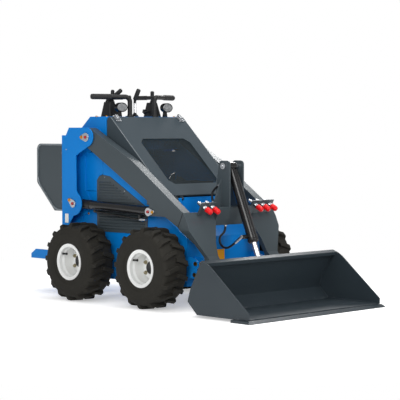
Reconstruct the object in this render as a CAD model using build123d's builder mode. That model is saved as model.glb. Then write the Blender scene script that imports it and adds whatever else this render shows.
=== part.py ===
from build123d import *
import os
from math import atan2, cos, degrees, hypot, radians, sin, sqrt, tan

# Stand-on mini wheeled skid steer loader with a quick-attach bucket.
# Frame: +X forward, +Y left, +Z up, millimetres, origin on the ground under
# the middle of the machine's length and width.
os.makedirs("parts", exist_ok=True)

# ------------------------------------------------------------ driving sizes
WHEELBASE = 670.0
WHEELBASE_MID_X = -137.0
LUG_TIP_R = 250.0
LUG_DEPTH = 22.0
LUG_COUNT = 32
TYRE_WIDTH = 200.0
WHEEL_CENTRE_Y = 470.0
RIM_SEAT_R = 101.3
RIM_FLANGE_R = 116.5
SPINDLE_R = 22.0
AXLE_TUBE_R = 42.0

BODY_WIDTH = 650.0
BODY_REAR_X = -620.0
BODY_FRONT_X = 365.0
BELLY_Z = 135.0
SHEET = 6.0
HULL_TOP_Z = 694.0
DECK_Z = 420.0
CONSOLE_TOP_Z = 1177.0
CONSOLE_BOTTOM_Z = 960.0

HOOD_SHEET = 4.0
HOOD_WIDTH = 648.0
HOOD_REAR_X = -369.0
HOOD_TOP_X = -334.0
HOOD_TOP_Z = 1175.0
HOOD_FOOT_X = 186.0
HOOD_FOOT_Z = 686.0

ARM_GAP = 12.0
ARM_WIDTH = 64.0
ARM_PLATE = 6.0
PILLAR_GAP = 3.0
PILLAR_PLATE = 8.0

# pivots, side view (x, z)
BOOM_PIVOT = (-470.0, 1044.0)
LIFT_LOW = (-599.0, 613.0)
LIFT_ON_ARM = (106.0, 586.0)
TILT_TOP = (423.0, 868.0)
TILT_EYE = (666.0, 287.0)
ATTACH_PIVOT = (600.0, 195.0)
HOOD_HINGE = (192.0, 664.0)
STEP_HINGE = (-700.0, 240.0)

BOOM_PIN_R = 20.0
LIFT_PIN_R = 15.0
TILT_PIN_R = 12.5
ATTACH_PIN_R = 15.0
HINGE_PIN_R = 5.0
PIN_CLEARANCE = 0.05
SEAT_GAP = 0.3

LIFT_BARREL_R = 30.0
LIFT_BARREL_LENGTH = 560.0
LIFT_BARREL_START = 30.0
LIFT_ROD_R = 16.0
LIFT_ROD_LENGTH = 575.0
LIFT_EYE_R = 28.0
LIFT_EYE_WIDTH = 46.0

TILT_BARREL_R = 32.0
TILT_BARREL_START = 34.0
TILT_BARREL_LENGTH = 460.0
TILT_ROD_R = 17.0
TILT_ROD_LENGTH = 420.0
TILT_EYE_R = 19.0
TILT_EYE_WIDTH = 56.0
PIPE_R = 6.0

BUCKET_WIDTH = 1182.0
EDGE_WIDTH = 1226.0
BUCKET_SHEET = 7.0
BUCKET_SIDE = 8.0
EDGE_THICK = 16.0
EDGE_DEPTH = 150.0
EDGE_TIP_X = 1160.0

STEP_REAR_X = -1160.0
STEP_SIDE_GAP = 9.0
STEP_SHEET = 6.0
STEP_FLOOR_Z = 222.0

# ---------------------------------------------------------- derived places
body_half = BODY_WIDTH / 2
arm_in = body_half + ARM_GAP
arm_out = arm_in + ARM_WIDTH
arm_mid = (arm_in + arm_out) / 2
pillar_in = arm_out + PILLAR_GAP
pillar_out = pillar_in + PILLAR_PLATE
axle_z = LUG_TIP_R
front_axle_x = WHEELBASE_MID_X + WHEELBASE / 2
rear_axle_x = WHEELBASE_MID_X - WHEELBASE / 2
hood_half = HOOD_WIDTH / 2
step_half = body_half - STEP_SIDE_GAP
half_tilt_eye = TILT_EYE_WIDTH / 2
SIDES = (("right", -1), ("left", 1))


def outline(points, y):
    """Closed side-view outline (x, z) as a face at the given y, facing -Y."""
    with BuildSketch(Plane.XZ.offset(-y)) as face:
        with BuildLine():
            Polyline(*points, close=True)
        make_face()
    return face.sketch


def slab(points, y_from, y_to, mode=Mode.ADD):
    """Side-view outline extruded between two y values."""
    low, high = min(y_from, y_to), max(y_from, y_to)
    return extrude(outline(points, high), amount=high - low, mode=mode)


def disc(centre, radius, y_from, y_to, mode=Mode.ADD):
    """Cylinder across the machine, its centre given in side view."""
    low, high = min(y_from, y_to), max(y_from, y_to)
    with BuildSketch(Plane.XZ.offset(-high)) as face:
        with Locations(centre):
            Circle(radius)
    return extrude(face.sketch, amount=high - low, mode=mode)


def block(x, y, z, mode=Mode.ADD):
    """Box between pairs of x, y and z values."""
    size = [abs(pair[1] - pair[0]) for pair in (x, y, z)]
    middle = [(pair[0] + pair[1]) / 2 for pair in (x, y, z)]
    with Locations(Vector(*middle)):
        return Box(*size, mode=mode)


def along(start, direction, distance):
    """Plane across a cylinder's axis, a distance from its hinge end."""
    origin = Vector(*start) + direction * distance
    return Plane(origin=origin, z_dir=direction)


def bar(start, direction, begin, length, radius, mode=Mode.ADD):
    with BuildSketch(along(start, direction, begin)) as ring:
        Circle(radius)
    return extrude(ring.sketch, amount=length, mode=mode)


def save(piece, name):
    """Label a finished piece and write its STEP file."""
    piece.label = name
    export_step(piece, f"parts/{name}.step")


def both_sides(piece):
    """The piece and its mirror image across the middle plane."""
    return Compound(children=[piece, mirror(piece, about=Plane.XZ)])


# ------------------------------------------------------------------- hull
hood_low_rear = (HOOD_REAR_X, 1010.0)
hood_low_front = (HOOD_FOOT_X - 8, HOOD_FOOT_Z - 14)
LID_GAP = 5.0
HOOD_HINGE_YS = (-220, 220)
louvre_outline = [
    (-462, 437), (-462, 768), (-440, 792), (-408, 802), (-340, 794), (16, 604), (16, 437),
]
APRON_TOP = (HOOD_FOOT_X, 544.0)
APRON_FOOT_Z = 432.0
hull_outline = [
    (BODY_REAR_X, BELLY_Z), (BODY_FRONT_X, BELLY_Z), (BODY_FRONT_X, APRON_FOOT_Z), APRON_TOP,
    (HOOD_FOOT_X, hood_low_front[1] - LID_GAP - 4),
    (hood_low_front[0], hood_low_front[1] - LID_GAP - 2),
    (HOOD_REAR_X - 6, hood_low_rear[1] - LID_GAP),
    (HOOD_REAR_X - 6, CONSOLE_BOTTOM_Z - 4), (-406, CONSOLE_BOTTOM_Z - 4),
    (-406, HULL_TOP_Z), (BODY_REAR_X, HULL_TOP_Z),
]
window_outline = [
    (-400, 452), (-400, 782), (-344, 776), (0, 592), (0, 452),
]
# tie-down clevises on the two front corners: plates with two cross pins each
FRONT_LUG_PLATE = 8.0
FRONT_LUG_YS = (body_half - 76, body_half - FRONT_LUG_PLATE)
FRONT_PIN_R = 8.0
FRONT_LUG_PINS = ((444.0, 281.0), (436.0, 213.0))
front_lug_outline = [
    (BODY_FRONT_X - 2, 190), (BODY_FRONT_X - 2, 318), (BODY_FRONT_X + 40, 318), (462, 296),
    (462, 262), (446, 246), (454, 228), (454, 200), (440, 190),
]
with BuildPart() as hull:
    for y_out, y_in in ((body_half, body_half - SHEET), (-body_half, -body_half + SHEET)):
        slab(hull_outline, y_out, y_in)
    inner = body_half - SHEET
    block((BODY_REAR_X, BODY_FRONT_X), (-inner, inner), (BELLY_Z, BELLY_Z + SHEET))
    block((BODY_REAR_X, HOOD_FOOT_X), (-inner, inner), (DECK_Z - SHEET, DECK_Z))
    block((BODY_REAR_X, BODY_REAR_X + SHEET), (-inner, inner), (BELLY_Z, HULL_TOP_Z))
    block((BODY_FRONT_X - SHEET, BODY_FRONT_X), (-inner, inner), (BELLY_Z, APRON_FOOT_Z - 2))
    slab([
        (BODY_FRONT_X, APRON_FOOT_Z), APRON_TOP, (APRON_TOP[0], APRON_TOP[1] - 8),
        (BODY_FRONT_X, APRON_FOOT_Z - 8),
    ], -inner, inner)
    slab(window_outline, -body_half - 1, body_half + 1, mode=Mode.SUBTRACT)
    for sign in (-1, 1):
        for y_low in FRONT_LUG_YS:
            slab(front_lug_outline, sign * y_low, sign * (y_low + FRONT_LUG_PLATE))
            for centre in FRONT_LUG_PINS:
                disc(centre, FRONT_PIN_R + PIN_CLEARANCE, sign * (y_low - 1),
                     sign * (y_low + FRONT_LUG_PLATE + 1), mode=Mode.SUBTRACT)
save(hull.part, "hull")

front_pins = []
for sign in (-1, 1):
    for centre in FRONT_LUG_PINS:
        with BuildPart() as front_pin:
            disc(centre, FRONT_PIN_R, sign * (FRONT_LUG_YS[0] - 8), sign * (body_half + 4))
            disc(centre, FRONT_PIN_R + 5, sign * (body_half + 4), sign * (body_half + 10))
        front_pins.append(front_pin.part)
save(Compound(children=front_pins), "front_pins")

# --------------------------------------------------------------- front cowl
with BuildPart() as front_cowl:
    block((HOOD_FOOT_X - SHEET, HOOD_FOOT_X), (-inner + SEAT_GAP, inner - SEAT_GAP),
          (APRON_TOP[1], HOOD_HINGE[1] + 2))
    for y in HOOD_HINGE_YS:
        block((HOOD_FOOT_X - SHEET, HOOD_FOOT_X), (y - 38, y + 38),
              (HOOD_HINGE[1] - 14, HOOD_HINGE[1] + 2), mode=Mode.SUBTRACT)
        slab([
            (HOOD_FOOT_X, HOOD_HINGE[1] - 60), (HOOD_FOOT_X + 14, HOOD_HINGE[1] - 40),
            (HOOD_FOOT_X + 14, HOOD_HINGE[1] + 4), (HOOD_FOOT_X, HOOD_HINGE[1] + 4),
        ], y - 14, y + 14)
        disc(HOOD_HINGE, HINGE_PIN_R, y - 32, y + 32)
save(front_cowl.part, "front_cowl")

# ---------------------------------------------------------------- console
console_outline = [
    (BODY_REAR_X, CONSOLE_BOTTOM_Z), (BODY_REAR_X, 1104), (-533, CONSOLE_TOP_Z),
    (HOOD_REAR_X - 6, CONSOLE_TOP_Z), (HOOD_REAR_X - 6, CONSOLE_BOTTOM_Z),
]
console_hollow = [
    (BODY_REAR_X + SHEET, CONSOLE_BOTTOM_Z - 1), (BODY_REAR_X + SHEET, 1101),
    (-531, CONSOLE_TOP_Z - SHEET), (HOOD_REAR_X - 6 - SHEET, CONSOLE_TOP_Z - SHEET),
    (HOOD_REAR_X - 6 - SHEET, CONSOLE_BOTTOM_Z - 1),
]
with BuildPart() as console:
    slab(console_outline, -body_half, body_half)
    slab(console_hollow, -inner, inner, mode=Mode.SUBTRACT)
save(console.part, "console")

# ------------------------------------------------------ rear and side panels
with BuildPart() as rear_panel:
    block((BODY_REAR_X, BODY_REAR_X + SHEET), (-inner + 1, inner - 1),
          (HULL_TOP_Z, CONSOLE_BOTTOM_Z))
save(rear_panel.part, "rear_panel")

panel_top_z = CONSOLE_BOTTOM_Z - 15
with BuildPart() as side_panel:
    slab([
        (BODY_REAR_X, HULL_TOP_Z + 3), (BODY_REAR_X, panel_top_z), (-408, panel_top_z),
        (-408, 806), (-442, 796), (-466, 770), (-466, HULL_TOP_Z + 3),
    ], -body_half, -body_half + SHEET)
save(both_sides(side_panel.part), "side_panels")

with BuildPart() as thigh_pad:
    block((BODY_REAR_X - 38, BODY_REAR_X - SEAT_GAP), (-190, 190), (960, 1080))
    fillet(thigh_pad.faces().sort_by(Axis.X)[0].edges(), 14)
save(thigh_pad.part, "thigh_pad")

# ------------------------------------------------------------ louvre panels
LOUVRE_PITCH = 17.0
with BuildPart() as louvre_panel:
    slab(louvre_outline, -body_half - 4, -body_half)
    rows = int((768 - 460) / LOUVRE_PITCH)
    for row in range(rows):
        z = 462 + row * LOUVRE_PITCH
        right_end = min(-8, 16 - (z + 26 - 604) / 0.534 - 20) if z > 570 else -8
        with BuildSketch(Plane.YZ.offset(-440)) as lip:
            with BuildLine():
                Polyline((-body_half - 4, z), (-body_half - 10, z), (-body_half - 4, z + 9), close=True)
            make_face()
        extrude(lip.sketch, amount=right_end + 440)
save(both_sides(louvre_panel.part), "louvre_panels")

# ------------------------------------------------------------------ engine
with BuildPart() as engine_block:
    block((-330, 60), (-210, 210), (DECK_Z, 760))
save(engine_block.part, "engine_block")

# ----------------------------------------------------------------- pillars
PILLAR_REAR_X = -715.0
PILLAR_FRONT_X = -575.0
PILLAR_SHOULDER_Z = 1056.0
PILLAR_TOP_Z = 1106.0
WHEEL_ARCH_GAP = 35.0
BOOM_EAR_R = PILLAR_TOP_Z - BOOM_PIVOT[1]
LIFT_EAR_R = 78.0
pillar_outline = [
    (PILLAR_REAR_X, 385), (PILLAR_REAR_X, PILLAR_SHOULDER_Z),
    (PILLAR_REAR_X + 40, PILLAR_SHOULDER_Z), (PILLAR_REAR_X + 71, PILLAR_TOP_Z),
    (BOOM_PIVOT[0], PILLAR_TOP_Z), (BOOM_PIVOT[0] + 10, BOOM_PIVOT[1] - BOOM_EAR_R),
    (PILLAR_FRONT_X, 925), (PILLAR_FRONT_X + 4, 700),
    (LIFT_LOW[0] + LIFT_EAR_R - 2, LIFT_LOW[1]), (LIFT_LOW[0], LIFT_LOW[1] - LIFT_EAR_R),
]
with BuildPart() as pillar:
    for y_low, y_high in ((body_half, body_half + PILLAR_PLATE), (pillar_in, pillar_out)):
        slab(pillar_outline, -y_low, -y_high)
        disc(BOOM_PIVOT, BOOM_EAR_R, -y_low, -y_high)
        disc(LIFT_LOW, LIFT_EAR_R, -y_low, -y_high)
    block((PILLAR_REAR_X, PILLAR_REAR_X + PILLAR_PLATE), (-pillar_out, -body_half),
          (440, PILLAR_SHOULDER_Z))
    disc((rear_axle_x, axle_z), LUG_TIP_R + WHEEL_ARCH_GAP, -body_half, -pillar_out,
         mode=Mode.SUBTRACT)
save(both_sides(pillar.part), "pillars")

PIN_HEAD = 9.0
FLAG_THICK = 5.0
FLAG_REACH = 40.0


def pin_flag(centre, y_face, forward):
    """Locking flag on a pin's head, held by one bolt; forward is 1 ahead, -1 to the rear."""
    with BuildSketch(Plane.XZ.offset(-y_face)) as flag:
        with Locations((centre[0] + forward * FLAG_REACH / 2, centre[1])):
            SlotCenterToCenter(FLAG_REACH, 26)
    extrude(flag.sketch, amount=FLAG_THICK)
    with BuildSketch(Plane.XZ.offset(-y_face + FLAG_THICK)) as bolt:
        with Locations((centre[0] + forward * FLAG_REACH, centre[1])):
            RegularPolygon(10, 6)
    extrude(bolt.sketch, amount=7)


with BuildPart() as fixed_pins:
    disc(BOOM_PIVOT, BOOM_PIN_R, -pillar_in, -body_half - PILLAR_PLATE)
    for centre, radius in ((BOOM_PIVOT, BOOM_PIN_R + 8), (LIFT_LOW, LIFT_PIN_R + 10)):
        pin_flag(centre, -pillar_out, -1)
        disc(centre, radius, -pillar_out, -pillar_out - PIN_HEAD)
        disc(centre, 9, -pillar_out - PIN_HEAD, -pillar_out - PIN_HEAD - 6)
save(both_sides(fixed_pins.part), "pillar_pins")

# ------------------------------------------------------------------ guards
GUARD_Y = 392.0
GUARD_SHEET = 5.0
GUARD_LOW_Z = 560.0
GUARD_TOP_Z = 1000.0
GUARD_REAR_X = -984.0
GUARD_CUT = 182.0
guard_front_x = PILLAR_REAR_X - SEAT_GAP
with BuildPart() as guard:
    with BuildSketch(Plane.XZ.offset(GUARD_Y)) as guard_face:
        with BuildLine():
            Polyline((guard_front_x, GUARD_LOW_Z), (guard_front_x, GUARD_TOP_Z),
                     (GUARD_REAR_X, GUARD_TOP_Z), (GUARD_REAR_X, GUARD_LOW_Z + GUARD_CUT),
                     (GUARD_REAR_X + GUARD_CUT, GUARD_LOW_Z), close=True)
        make_face()
        fillet(guard_face.vertices().group_by(Axis.X)[0], 40)
    extrude(guard_face.sketch, amount=GUARD_SHEET)
    with BuildSketch(Plane.XZ.offset(GUARD_Y)) as guard_rim:
        add(guard_face.sketch)
        offset(guard_face.sketch, amount=-12, mode=Mode.SUBTRACT)
    extrude(guard_rim.sketch, amount=GUARD_SHEET + 7)
save(both_sides(guard.part), "guards")

# ------------------------------------------------------------ axle housings
with BuildPart() as axle_housing:
    spindle_end = WHEEL_CENTRE_Y - 10
    disc((0, axle_z), AXLE_TUBE_R, -body_half, -body_half - 90)
    disc((0, axle_z), AXLE_TUBE_R + 26, -body_half, -body_half - 10)
    disc((0, axle_z), SPINDLE_R, -body_half - 90, -spindle_end)
housings = [
    axle_housing.part.translate((x, 0, 0)) for x in (front_axle_x, rear_axle_x)
]
housings += [mirror(piece, about=Plane.XZ) for piece in housings]
save(Compound(children=housings), "axle_housings")

# ------------------------------------------------------------------ wheels
DISC_Y = -10.0
HUB_PILOT_R = 40.0
DROP_CENTRE = 8.0
RIM_WALL = 4.0
HUB_R = 44.0


def wheel_tyre():
    """Tyre of flat-sided sectors with one chevron lug each, left and right by turns."""
    half = TYRE_WIDTH / 2
    carcass_r = LUG_TIP_R - LUG_DEPTH
    sector = 180 / LUG_COUNT
    lug_half = 32.0
    lug_top = sqrt(LUG_TIP_R ** 2 - lug_half ** 2)
    with BuildPart() as slice:
        with BuildSketch(Plane.XY) as section:
            with BuildLine():
                Polyline(
                    (RIM_SEAT_R + SEAT_GAP, half - 20), (RIM_FLANGE_R + 52, half), (carcass_r, half - 12),
                    (carcass_r, -half + 12), (RIM_FLANGE_R + 52, -half),
                    (RIM_SEAT_R + SEAT_GAP, -half + 20), close=True)
            make_face()
        extrude(section.sketch, amount=lug_half, both=True)
        with BuildSketch(Plane.XZ) as wedge:
            reach = LUG_TIP_R * tan(radians(sector))
            with BuildLine():
                Polyline((0, 0), (LUG_TIP_R, reach), (LUG_TIP_R, -reach), close=True)
            make_face()
        extrude(wedge.sketch, amount=half + 1, both=True, mode=Mode.INTERSECT)
    with BuildPart() as lug:
        with BuildSketch(Plane.YZ.offset(carcass_r - 30)) as lug_foot:
            with BuildLine():
                Polyline((-6, 3), (-6, lug_half), (half, 4), (half, -lug_half), close=True)
            make_face()
        extrude(lug_foot.sketch, amount=LUG_DEPTH + 30)
        with BuildSketch(Plane.XY) as lug_section:
            with BuildLine():
                Polyline((carcass_r - 25, -10), (lug_top, -10), (lug_top, half - 14),
                         (carcass_r - 20, half - 1), (carcass_r - 25, half - 8), close=True)
            make_face()
        extrude(lug_section.sketch, amount=lug_half + 1, both=True, mode=Mode.INTERSECT)
    with BuildPart() as tyre:
        for turn in range(LUG_COUNT):
            add(slice.part.rotate(Axis.Y, 2 * sector * turn))
        for turn in range(LUG_COUNT):
            placed_lug = lug.part if turn % 2 == 0 else mirror(lug.part, about=Plane.XZ)
            add(placed_lug.rotate(Axis.Y, 2 * sector * turn))
    return tyre.part


def wheel_rim():
    half = TYRE_WIDTH / 2
    with BuildPart() as rim:
        with BuildSketch(Plane.XY) as section:
            with BuildLine():
                drop_r = RIM_SEAT_R - DROP_CENTRE
                Polyline(
                    (RIM_FLANGE_R, half - 9), (RIM_FLANGE_R, half - 14), (RIM_SEAT_R, half - 19),
                    (RIM_SEAT_R, half - 38), (drop_r, half - 50), (drop_r, -half + 50),
                    (RIM_SEAT_R, -half + 38), (RIM_SEAT_R, -half + 19), (RIM_FLANGE_R, -half + 14),
                    (RIM_FLANGE_R, -half + 9), (RIM_SEAT_R - 5, -half + 12),
                    (RIM_SEAT_R - 5, -half + 36), (drop_r - RIM_WALL, -half + 48),
                    (drop_r - RIM_WALL, DISC_Y - 16), (62, DISC_Y + 4), (HUB_PILOT_R, DISC_Y + 4),
                    (HUB_PILOT_R, DISC_Y + 10), (66, DISC_Y + 10), (drop_r - RIM_WALL, DISC_Y - 8),
                    (drop_r - RIM_WALL, half - 50), (RIM_SEAT_R - 5, half - 36),
                    (RIM_SEAT_R - 5, half - 12), close=True)
            make_face()
        revolve(axis=Axis.Y)
    return rim.part


def wheel_hub():
    with BuildPart() as hub:
        with BuildSketch(Plane.XY) as section:
            with BuildLine():
                pilot = HUB_PILOT_R - SEAT_GAP
                Polyline(
                    (SPINDLE_R + PIN_CLEARANCE, DISC_Y - 40), (HUB_R, DISC_Y - 40),
                    (HUB_R, DISC_Y - 12), (62, DISC_Y - 12), (62, DISC_Y + 4 - SEAT_GAP),
                    (pilot, DISC_Y + 4 - SEAT_GAP), (pilot, DISC_Y + 12), (pilot - 4, DISC_Y + 15),
                    (0, DISC_Y + 15), (0, DISC_Y + 10), (SPINDLE_R + PIN_CLEARANCE, DISC_Y + 10),
                    close=True)
            make_face()
        revolve(axis=Axis.Y)
    return hub.part


wheel_pieces = (("tyre", wheel_tyre()), ("rim", wheel_rim()), ("hub", wheel_hub()))
for side, sign in SIDES:
    for end, x in (("front", front_axle_x), ("rear", rear_axle_x)):
        for kind, piece in wheel_pieces:
            turned = piece if sign > 0 else mirror(piece, about=Plane.XZ)
            placed = turned.translate((x, sign * WHEEL_CENTRE_Y, axle_z))
            save(placed, f"{kind}_{end}_{side}")

# -------------------------------------------------------------------- hood
hood_outline = [
    (HOOD_REAR_X, hood_low_rear[1]), (HOOD_REAR_X, HOOD_TOP_Z - 24),
    (HOOD_REAR_X + 8, HOOD_TOP_Z - 6), (HOOD_REAR_X + 24, HOOD_TOP_Z), (HOOD_TOP_X, HOOD_TOP_Z),
    (HOOD_FOOT_X, HOOD_FOOT_Z), (HOOD_FOOT_X + 2, hood_low_front[1]), hood_low_front,
]
slope_angle = degrees(atan2(HOOD_TOP_Z - HOOD_FOOT_Z, HOOD_FOOT_X - HOOD_TOP_X))
slope_length = hypot(HOOD_FOOT_X - HOOD_TOP_X, HOOD_TOP_Z - HOOD_FOOT_Z)
slope_plane = Plane(
    origin=(HOOD_TOP_X, 0, HOOD_TOP_Z),
    x_dir=(cos(radians(slope_angle)), 0, -sin(radians(slope_angle))),
    z_dir=(sin(radians(slope_angle)), 0, cos(radians(slope_angle))),
)


def slope_point(distance, depth):
    """Side-view point down the hood's slope, at a depth below its outer face."""
    a = radians(slope_angle)
    return (HOOD_TOP_X + distance * cos(a) - depth * sin(a),
            HOOD_TOP_Z - distance * sin(a) - depth * cos(a))


WINDOW_FROM = 205.0
WINDOW_TO = 615.0
WINDOW_HALF = 217.0
WINDOW_CORNER = 36.0
with BuildPart() as hood:
    slab(hood_outline, -hood_half, hood_half)
    slab([
        (HOOD_REAR_X - 1, 900), (HOOD_REAR_X - 1, HOOD_TOP_Z - HOOD_SHEET),
        slope_point(0, HOOD_SHEET), slope_point(slope_length + 8, HOOD_SHEET), (HOOD_FOOT_X, 500),
    ], -hood_half + HOOD_SHEET, hood_half - HOOD_SHEET, mode=Mode.SUBTRACT)
    with BuildSketch(slope_plane) as window:
        with Locations(((WINDOW_FROM + WINDOW_TO) / 2, 0)):
            Rectangle(WINDOW_TO - WINDOW_FROM, 2 * WINDOW_HALF)
        chamfer(window.vertices(), WINDOW_CORNER)
    extrude(amount=-30, mode=Mode.SUBTRACT)
    for y in HOOD_HINGE_YS:
        for y_low in (y - 32, y + 15):
            slab([
                slope_point(slope_length - 16, 1), slope_point(slope_length + 2, 1),
                (HOOD_HINGE[0] + 9, HOOD_HINGE[1]), (HOOD_HINGE[0], HOOD_HINGE[1] - 9),
                (HOOD_HINGE[0] - 9, HOOD_HINGE[1]),
            ], y_low, y_low + 17)
            disc(HOOD_HINGE, HINGE_PIN_R + PIN_CLEARANCE, y_low - 1, y_low + 18, mode=Mode.SUBTRACT)
save(hood.part, "hood")

MESH_BORDER = 16.0
SLOT = (12.0, 36.0)
SLOT_PITCH = (17.0, 44.0)
SLOT_COUNT = (22, 9)
with BuildPart() as hood_mesh:
    with BuildSketch(slope_plane.offset(-HOOD_SHEET - SEAT_GAP)) as mesh_face:
        with Locations(((WINDOW_FROM + WINDOW_TO) / 2, 0)):
            Rectangle(WINDOW_TO - WINDOW_FROM + 2 * MESH_BORDER, 2 * (WINDOW_HALF + MESH_BORDER))
        chamfer(mesh_face.vertices(), WINDOW_CORNER)
        with Locations(((WINDOW_FROM + WINDOW_TO) / 2, 0)):
            with GridLocations(*SLOT_PITCH, *SLOT_COUNT):
                Rectangle(*SLOT, mode=Mode.SUBTRACT)
    extrude(amount=-2)
save(hood_mesh.part, "hood_mesh")

latches = []
for y in (-281, 281):
    with BuildPart() as latch:
        with BuildSketch(slope_plane) as latch_foot:
            with Locations((18, y)):
                RectangleRounded(56, 44, 6)
        extrude(amount=5)
        with BuildSketch(slope_plane.offset(5)) as latch_lever:
            with Locations((10, y)):
                RectangleRounded(34, 26, 5)
        extrude(amount=7)
    latches.append(latch.part)
save(Compound(children=latches), "hood_latches")

# --------------------------------------------------------------- boom arms
ARM_EAR_R = 60.0
arm_top_kink = (-48.0, 898.0)
arm_top_end = (406.0, 591.0)
arm_low_end = (363.0, 499.0)
LIFT_CLEAR_R = 47.0
ARM_LIFT_EAR_R = 26.0
arm_outline = [
    (BOOM_PIVOT[0] + 28, BOOM_PIVOT[1] + ARM_EAR_R - 7), arm_top_kink, arm_top_end, arm_low_end,
    (250, LIFT_ON_ARM[1] - ARM_LIFT_EAR_R), (LIFT_ON_ARM[0], LIFT_ON_ARM[1] - ARM_LIFT_EAR_R),
    (LIFT_ON_ARM[0] - 18, LIFT_ON_ARM[1]), (LIFT_ON_ARM[0] - 18, 655),
    (BOOM_PIVOT[0] - 24, BOOM_PIVOT[1] - ARM_EAR_R + 5),
]


def boom_arm():
    with BuildPart() as arm:
        slab(arm_outline, -arm_in, -arm_out)
        disc(BOOM_PIVOT, ARM_EAR_R, -arm_in, -arm_out)
        slab([
            (LIFT_ON_ARM[0], LIFT_ON_ARM[1] - 60), (LIFT_ON_ARM[0], LIFT_ON_ARM[1] + LIFT_CLEAR_R),
            (LIFT_ON_ARM[0] - 34, LIFT_ON_ARM[1] + LIFT_CLEAR_R - 9),
            (LIFT_ON_ARM[0] - 60, LIFT_ON_ARM[1]), (LIFT_ON_ARM[0] - 60, LIFT_ON_ARM[1] - 60),
        ], -arm_in, -arm_out, mode=Mode.SUBTRACT)
        disc(LIFT_ON_ARM, ARM_LIFT_EAR_R, -arm_in, -arm_out)
        slot_low, slot_high = -arm_in - ARM_PLATE, -arm_out + ARM_PLATE
        disc(LIFT_ON_ARM, LIFT_CLEAR_R, slot_low, slot_high, mode=Mode.SUBTRACT)
        disc(BOOM_PIVOT, BOOM_PIN_R + PIN_CLEARANCE, -arm_in, -arm_out, mode=Mode.SUBTRACT)
    return arm.part


right_arm = boom_arm()
save(right_arm, "arm_right")
save(mirror(right_arm, about=Plane.XZ), "arm_left")

# -------------------------------------------- boom bridge, legs and tower
TOWER_IN = 55.0
TOWER_PLATE = 10.0
TOWER_TOP_Z = 902.0
TOWER_CORNER = 24.0
GUSSET_PLATE = 8.0
LEG_EAR_R = 42.0
LEG_Y = (225.0, 313.0)
LEG_TOP_Y = 150.0
BRIDGE_TOP_Z = 617.0
BRIDGE_LOW_Z = 505.0
GUSSET_X = 397.0
bridge_outline = [
    (350, 600), (374, BRIDGE_TOP_Z), (474, BRIDGE_TOP_Z), (430, BRIDGE_LOW_Z), (363, BRIDGE_LOW_Z),
]
leg_side = [
    arm_low_end, arm_top_end, (436, 545), (528, 330),
    (ATTACH_PIVOT[0] + 24, ATTACH_PIVOT[1] + 34), (ATTACH_PIVOT[0], ATTACH_PIVOT[1]),
    (ATTACH_PIVOT[0] - 33, ATTACH_PIVOT[1] - 26), (462, 400),
]
leg_front = [
    (LEG_TOP_Y, 620), (LEG_TOP_Y - 12, 560), (LEG_Y[0] - 20, 407), (LEG_Y[0], 300), (LEG_Y[0], 100),
    (LEG_Y[1], 100), (LEG_Y[1], 324), (arm_out, 482), (arm_out, 620),
]
tower_outline = [
    (350, 598), (355, 680), (367, 797), (385, TOWER_TOP_Z), (474, TOWER_TOP_Z), (474, 612), (430, 520),
]
tower_out = TOWER_IN + TOWER_PLATE
gusset_outline = [
    (tower_out, TOWER_TOP_Z - 112), (LEG_TOP_Y - 20, 649), (LEG_TOP_Y - 20, 612), (tower_out, 612),
]

# couplers: quick connectors on two bulkhead plates, leaning forward and down
COUPLER_R = 13.0
COUPLER_CAP_R = 17.0
COUPLER_CAP_LENGTH = 40.0
COUPLER_LEAN = 27.0
COUPLER_PLATE = 8.0
COUPLER_REAR = (408.0, 641.0)
COUPLER_PLATE_AT = 36.0
COUPLER_CAP_AT = 75.0
COUPLER_YS = (-258, -193, 195, 260, 325)
COUPLER_PLATES = ((-290, -161), (163, 357))
coupler_dir = Vector(cos(radians(COUPLER_LEAN)), 0, -sin(radians(COUPLER_LEAN)))
coupler_up = (sin(radians(COUPLER_LEAN)), cos(radians(COUPLER_LEAN)))


def coupler_point(distance, rise):
    """Side-view point along the couplers' axis and up across it."""
    return (COUPLER_REAR[0] + distance * coupler_dir.X + rise * coupler_up[0],
            COUPLER_REAR[1] + distance * coupler_dir.Z + rise * coupler_up[1])


with BuildPart() as leg:
    slab(leg_side, -LEG_TOP_Y + 20, -arm_out)
    disc(ATTACH_PIVOT, LEG_EAR_R, -LEG_TOP_Y + 20, -arm_out)
    with BuildSketch(Plane.YZ.offset(300)) as leg_view:
        with BuildLine():
            Polyline(*[(-y, z) for y, z in leg_front], close=True)
        make_face()
    extrude(leg_view.sketch, amount=400, mode=Mode.INTERSECT)
    disc(ATTACH_PIVOT, ATTACH_PIN_R + PIN_CLEARANCE, -LEG_TOP_Y, -arm_out, mode=Mode.SUBTRACT)

with BuildPart() as boom_bridge:
    slab(bridge_outline, -LEG_TOP_Y - 4, LEG_TOP_Y + 4)
    add(leg.part)
    add(mirror(leg.part, about=Plane.XZ))
    for sign in (-1, 1):
        with BuildSketch(Plane.XZ.offset(tower_out if sign < 0 else -TOWER_IN)) as tower_face:
            with BuildLine():
                Polyline(*tower_outline, close=True)
            make_face()
            fillet(tower_face.vertices().group_by(Axis.Y)[-1], TOWER_CORNER)
        extrude(tower_face.sketch, amount=-TOWER_PLATE)
        with BuildSketch(Plane.YZ.offset(GUSSET_X)) as gusset:
            with BuildLine():
                Polyline(*[(sign * y, z) for y, z in gusset_outline], close=True)
            make_face()
        extrude(gusset.sketch, amount=GUSSET_PLATE)
    disc(TILT_TOP, TILT_PIN_R + PIN_CLEARANCE, -tower_out, tower_out, mode=Mode.SUBTRACT)
    for y_low, y_high in COUPLER_PLATES:
        slab([
            coupler_point(COUPLER_PLATE_AT, -60), coupler_point(COUPLER_PLATE_AT, 30),
            coupler_point(COUPLER_PLATE_AT + COUPLER_PLATE, 30),
            coupler_point(COUPLER_PLATE_AT + COUPLER_PLATE, -60),
        ], y_low, y_high)
save(boom_bridge.part, "boom_bridge")

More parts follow.
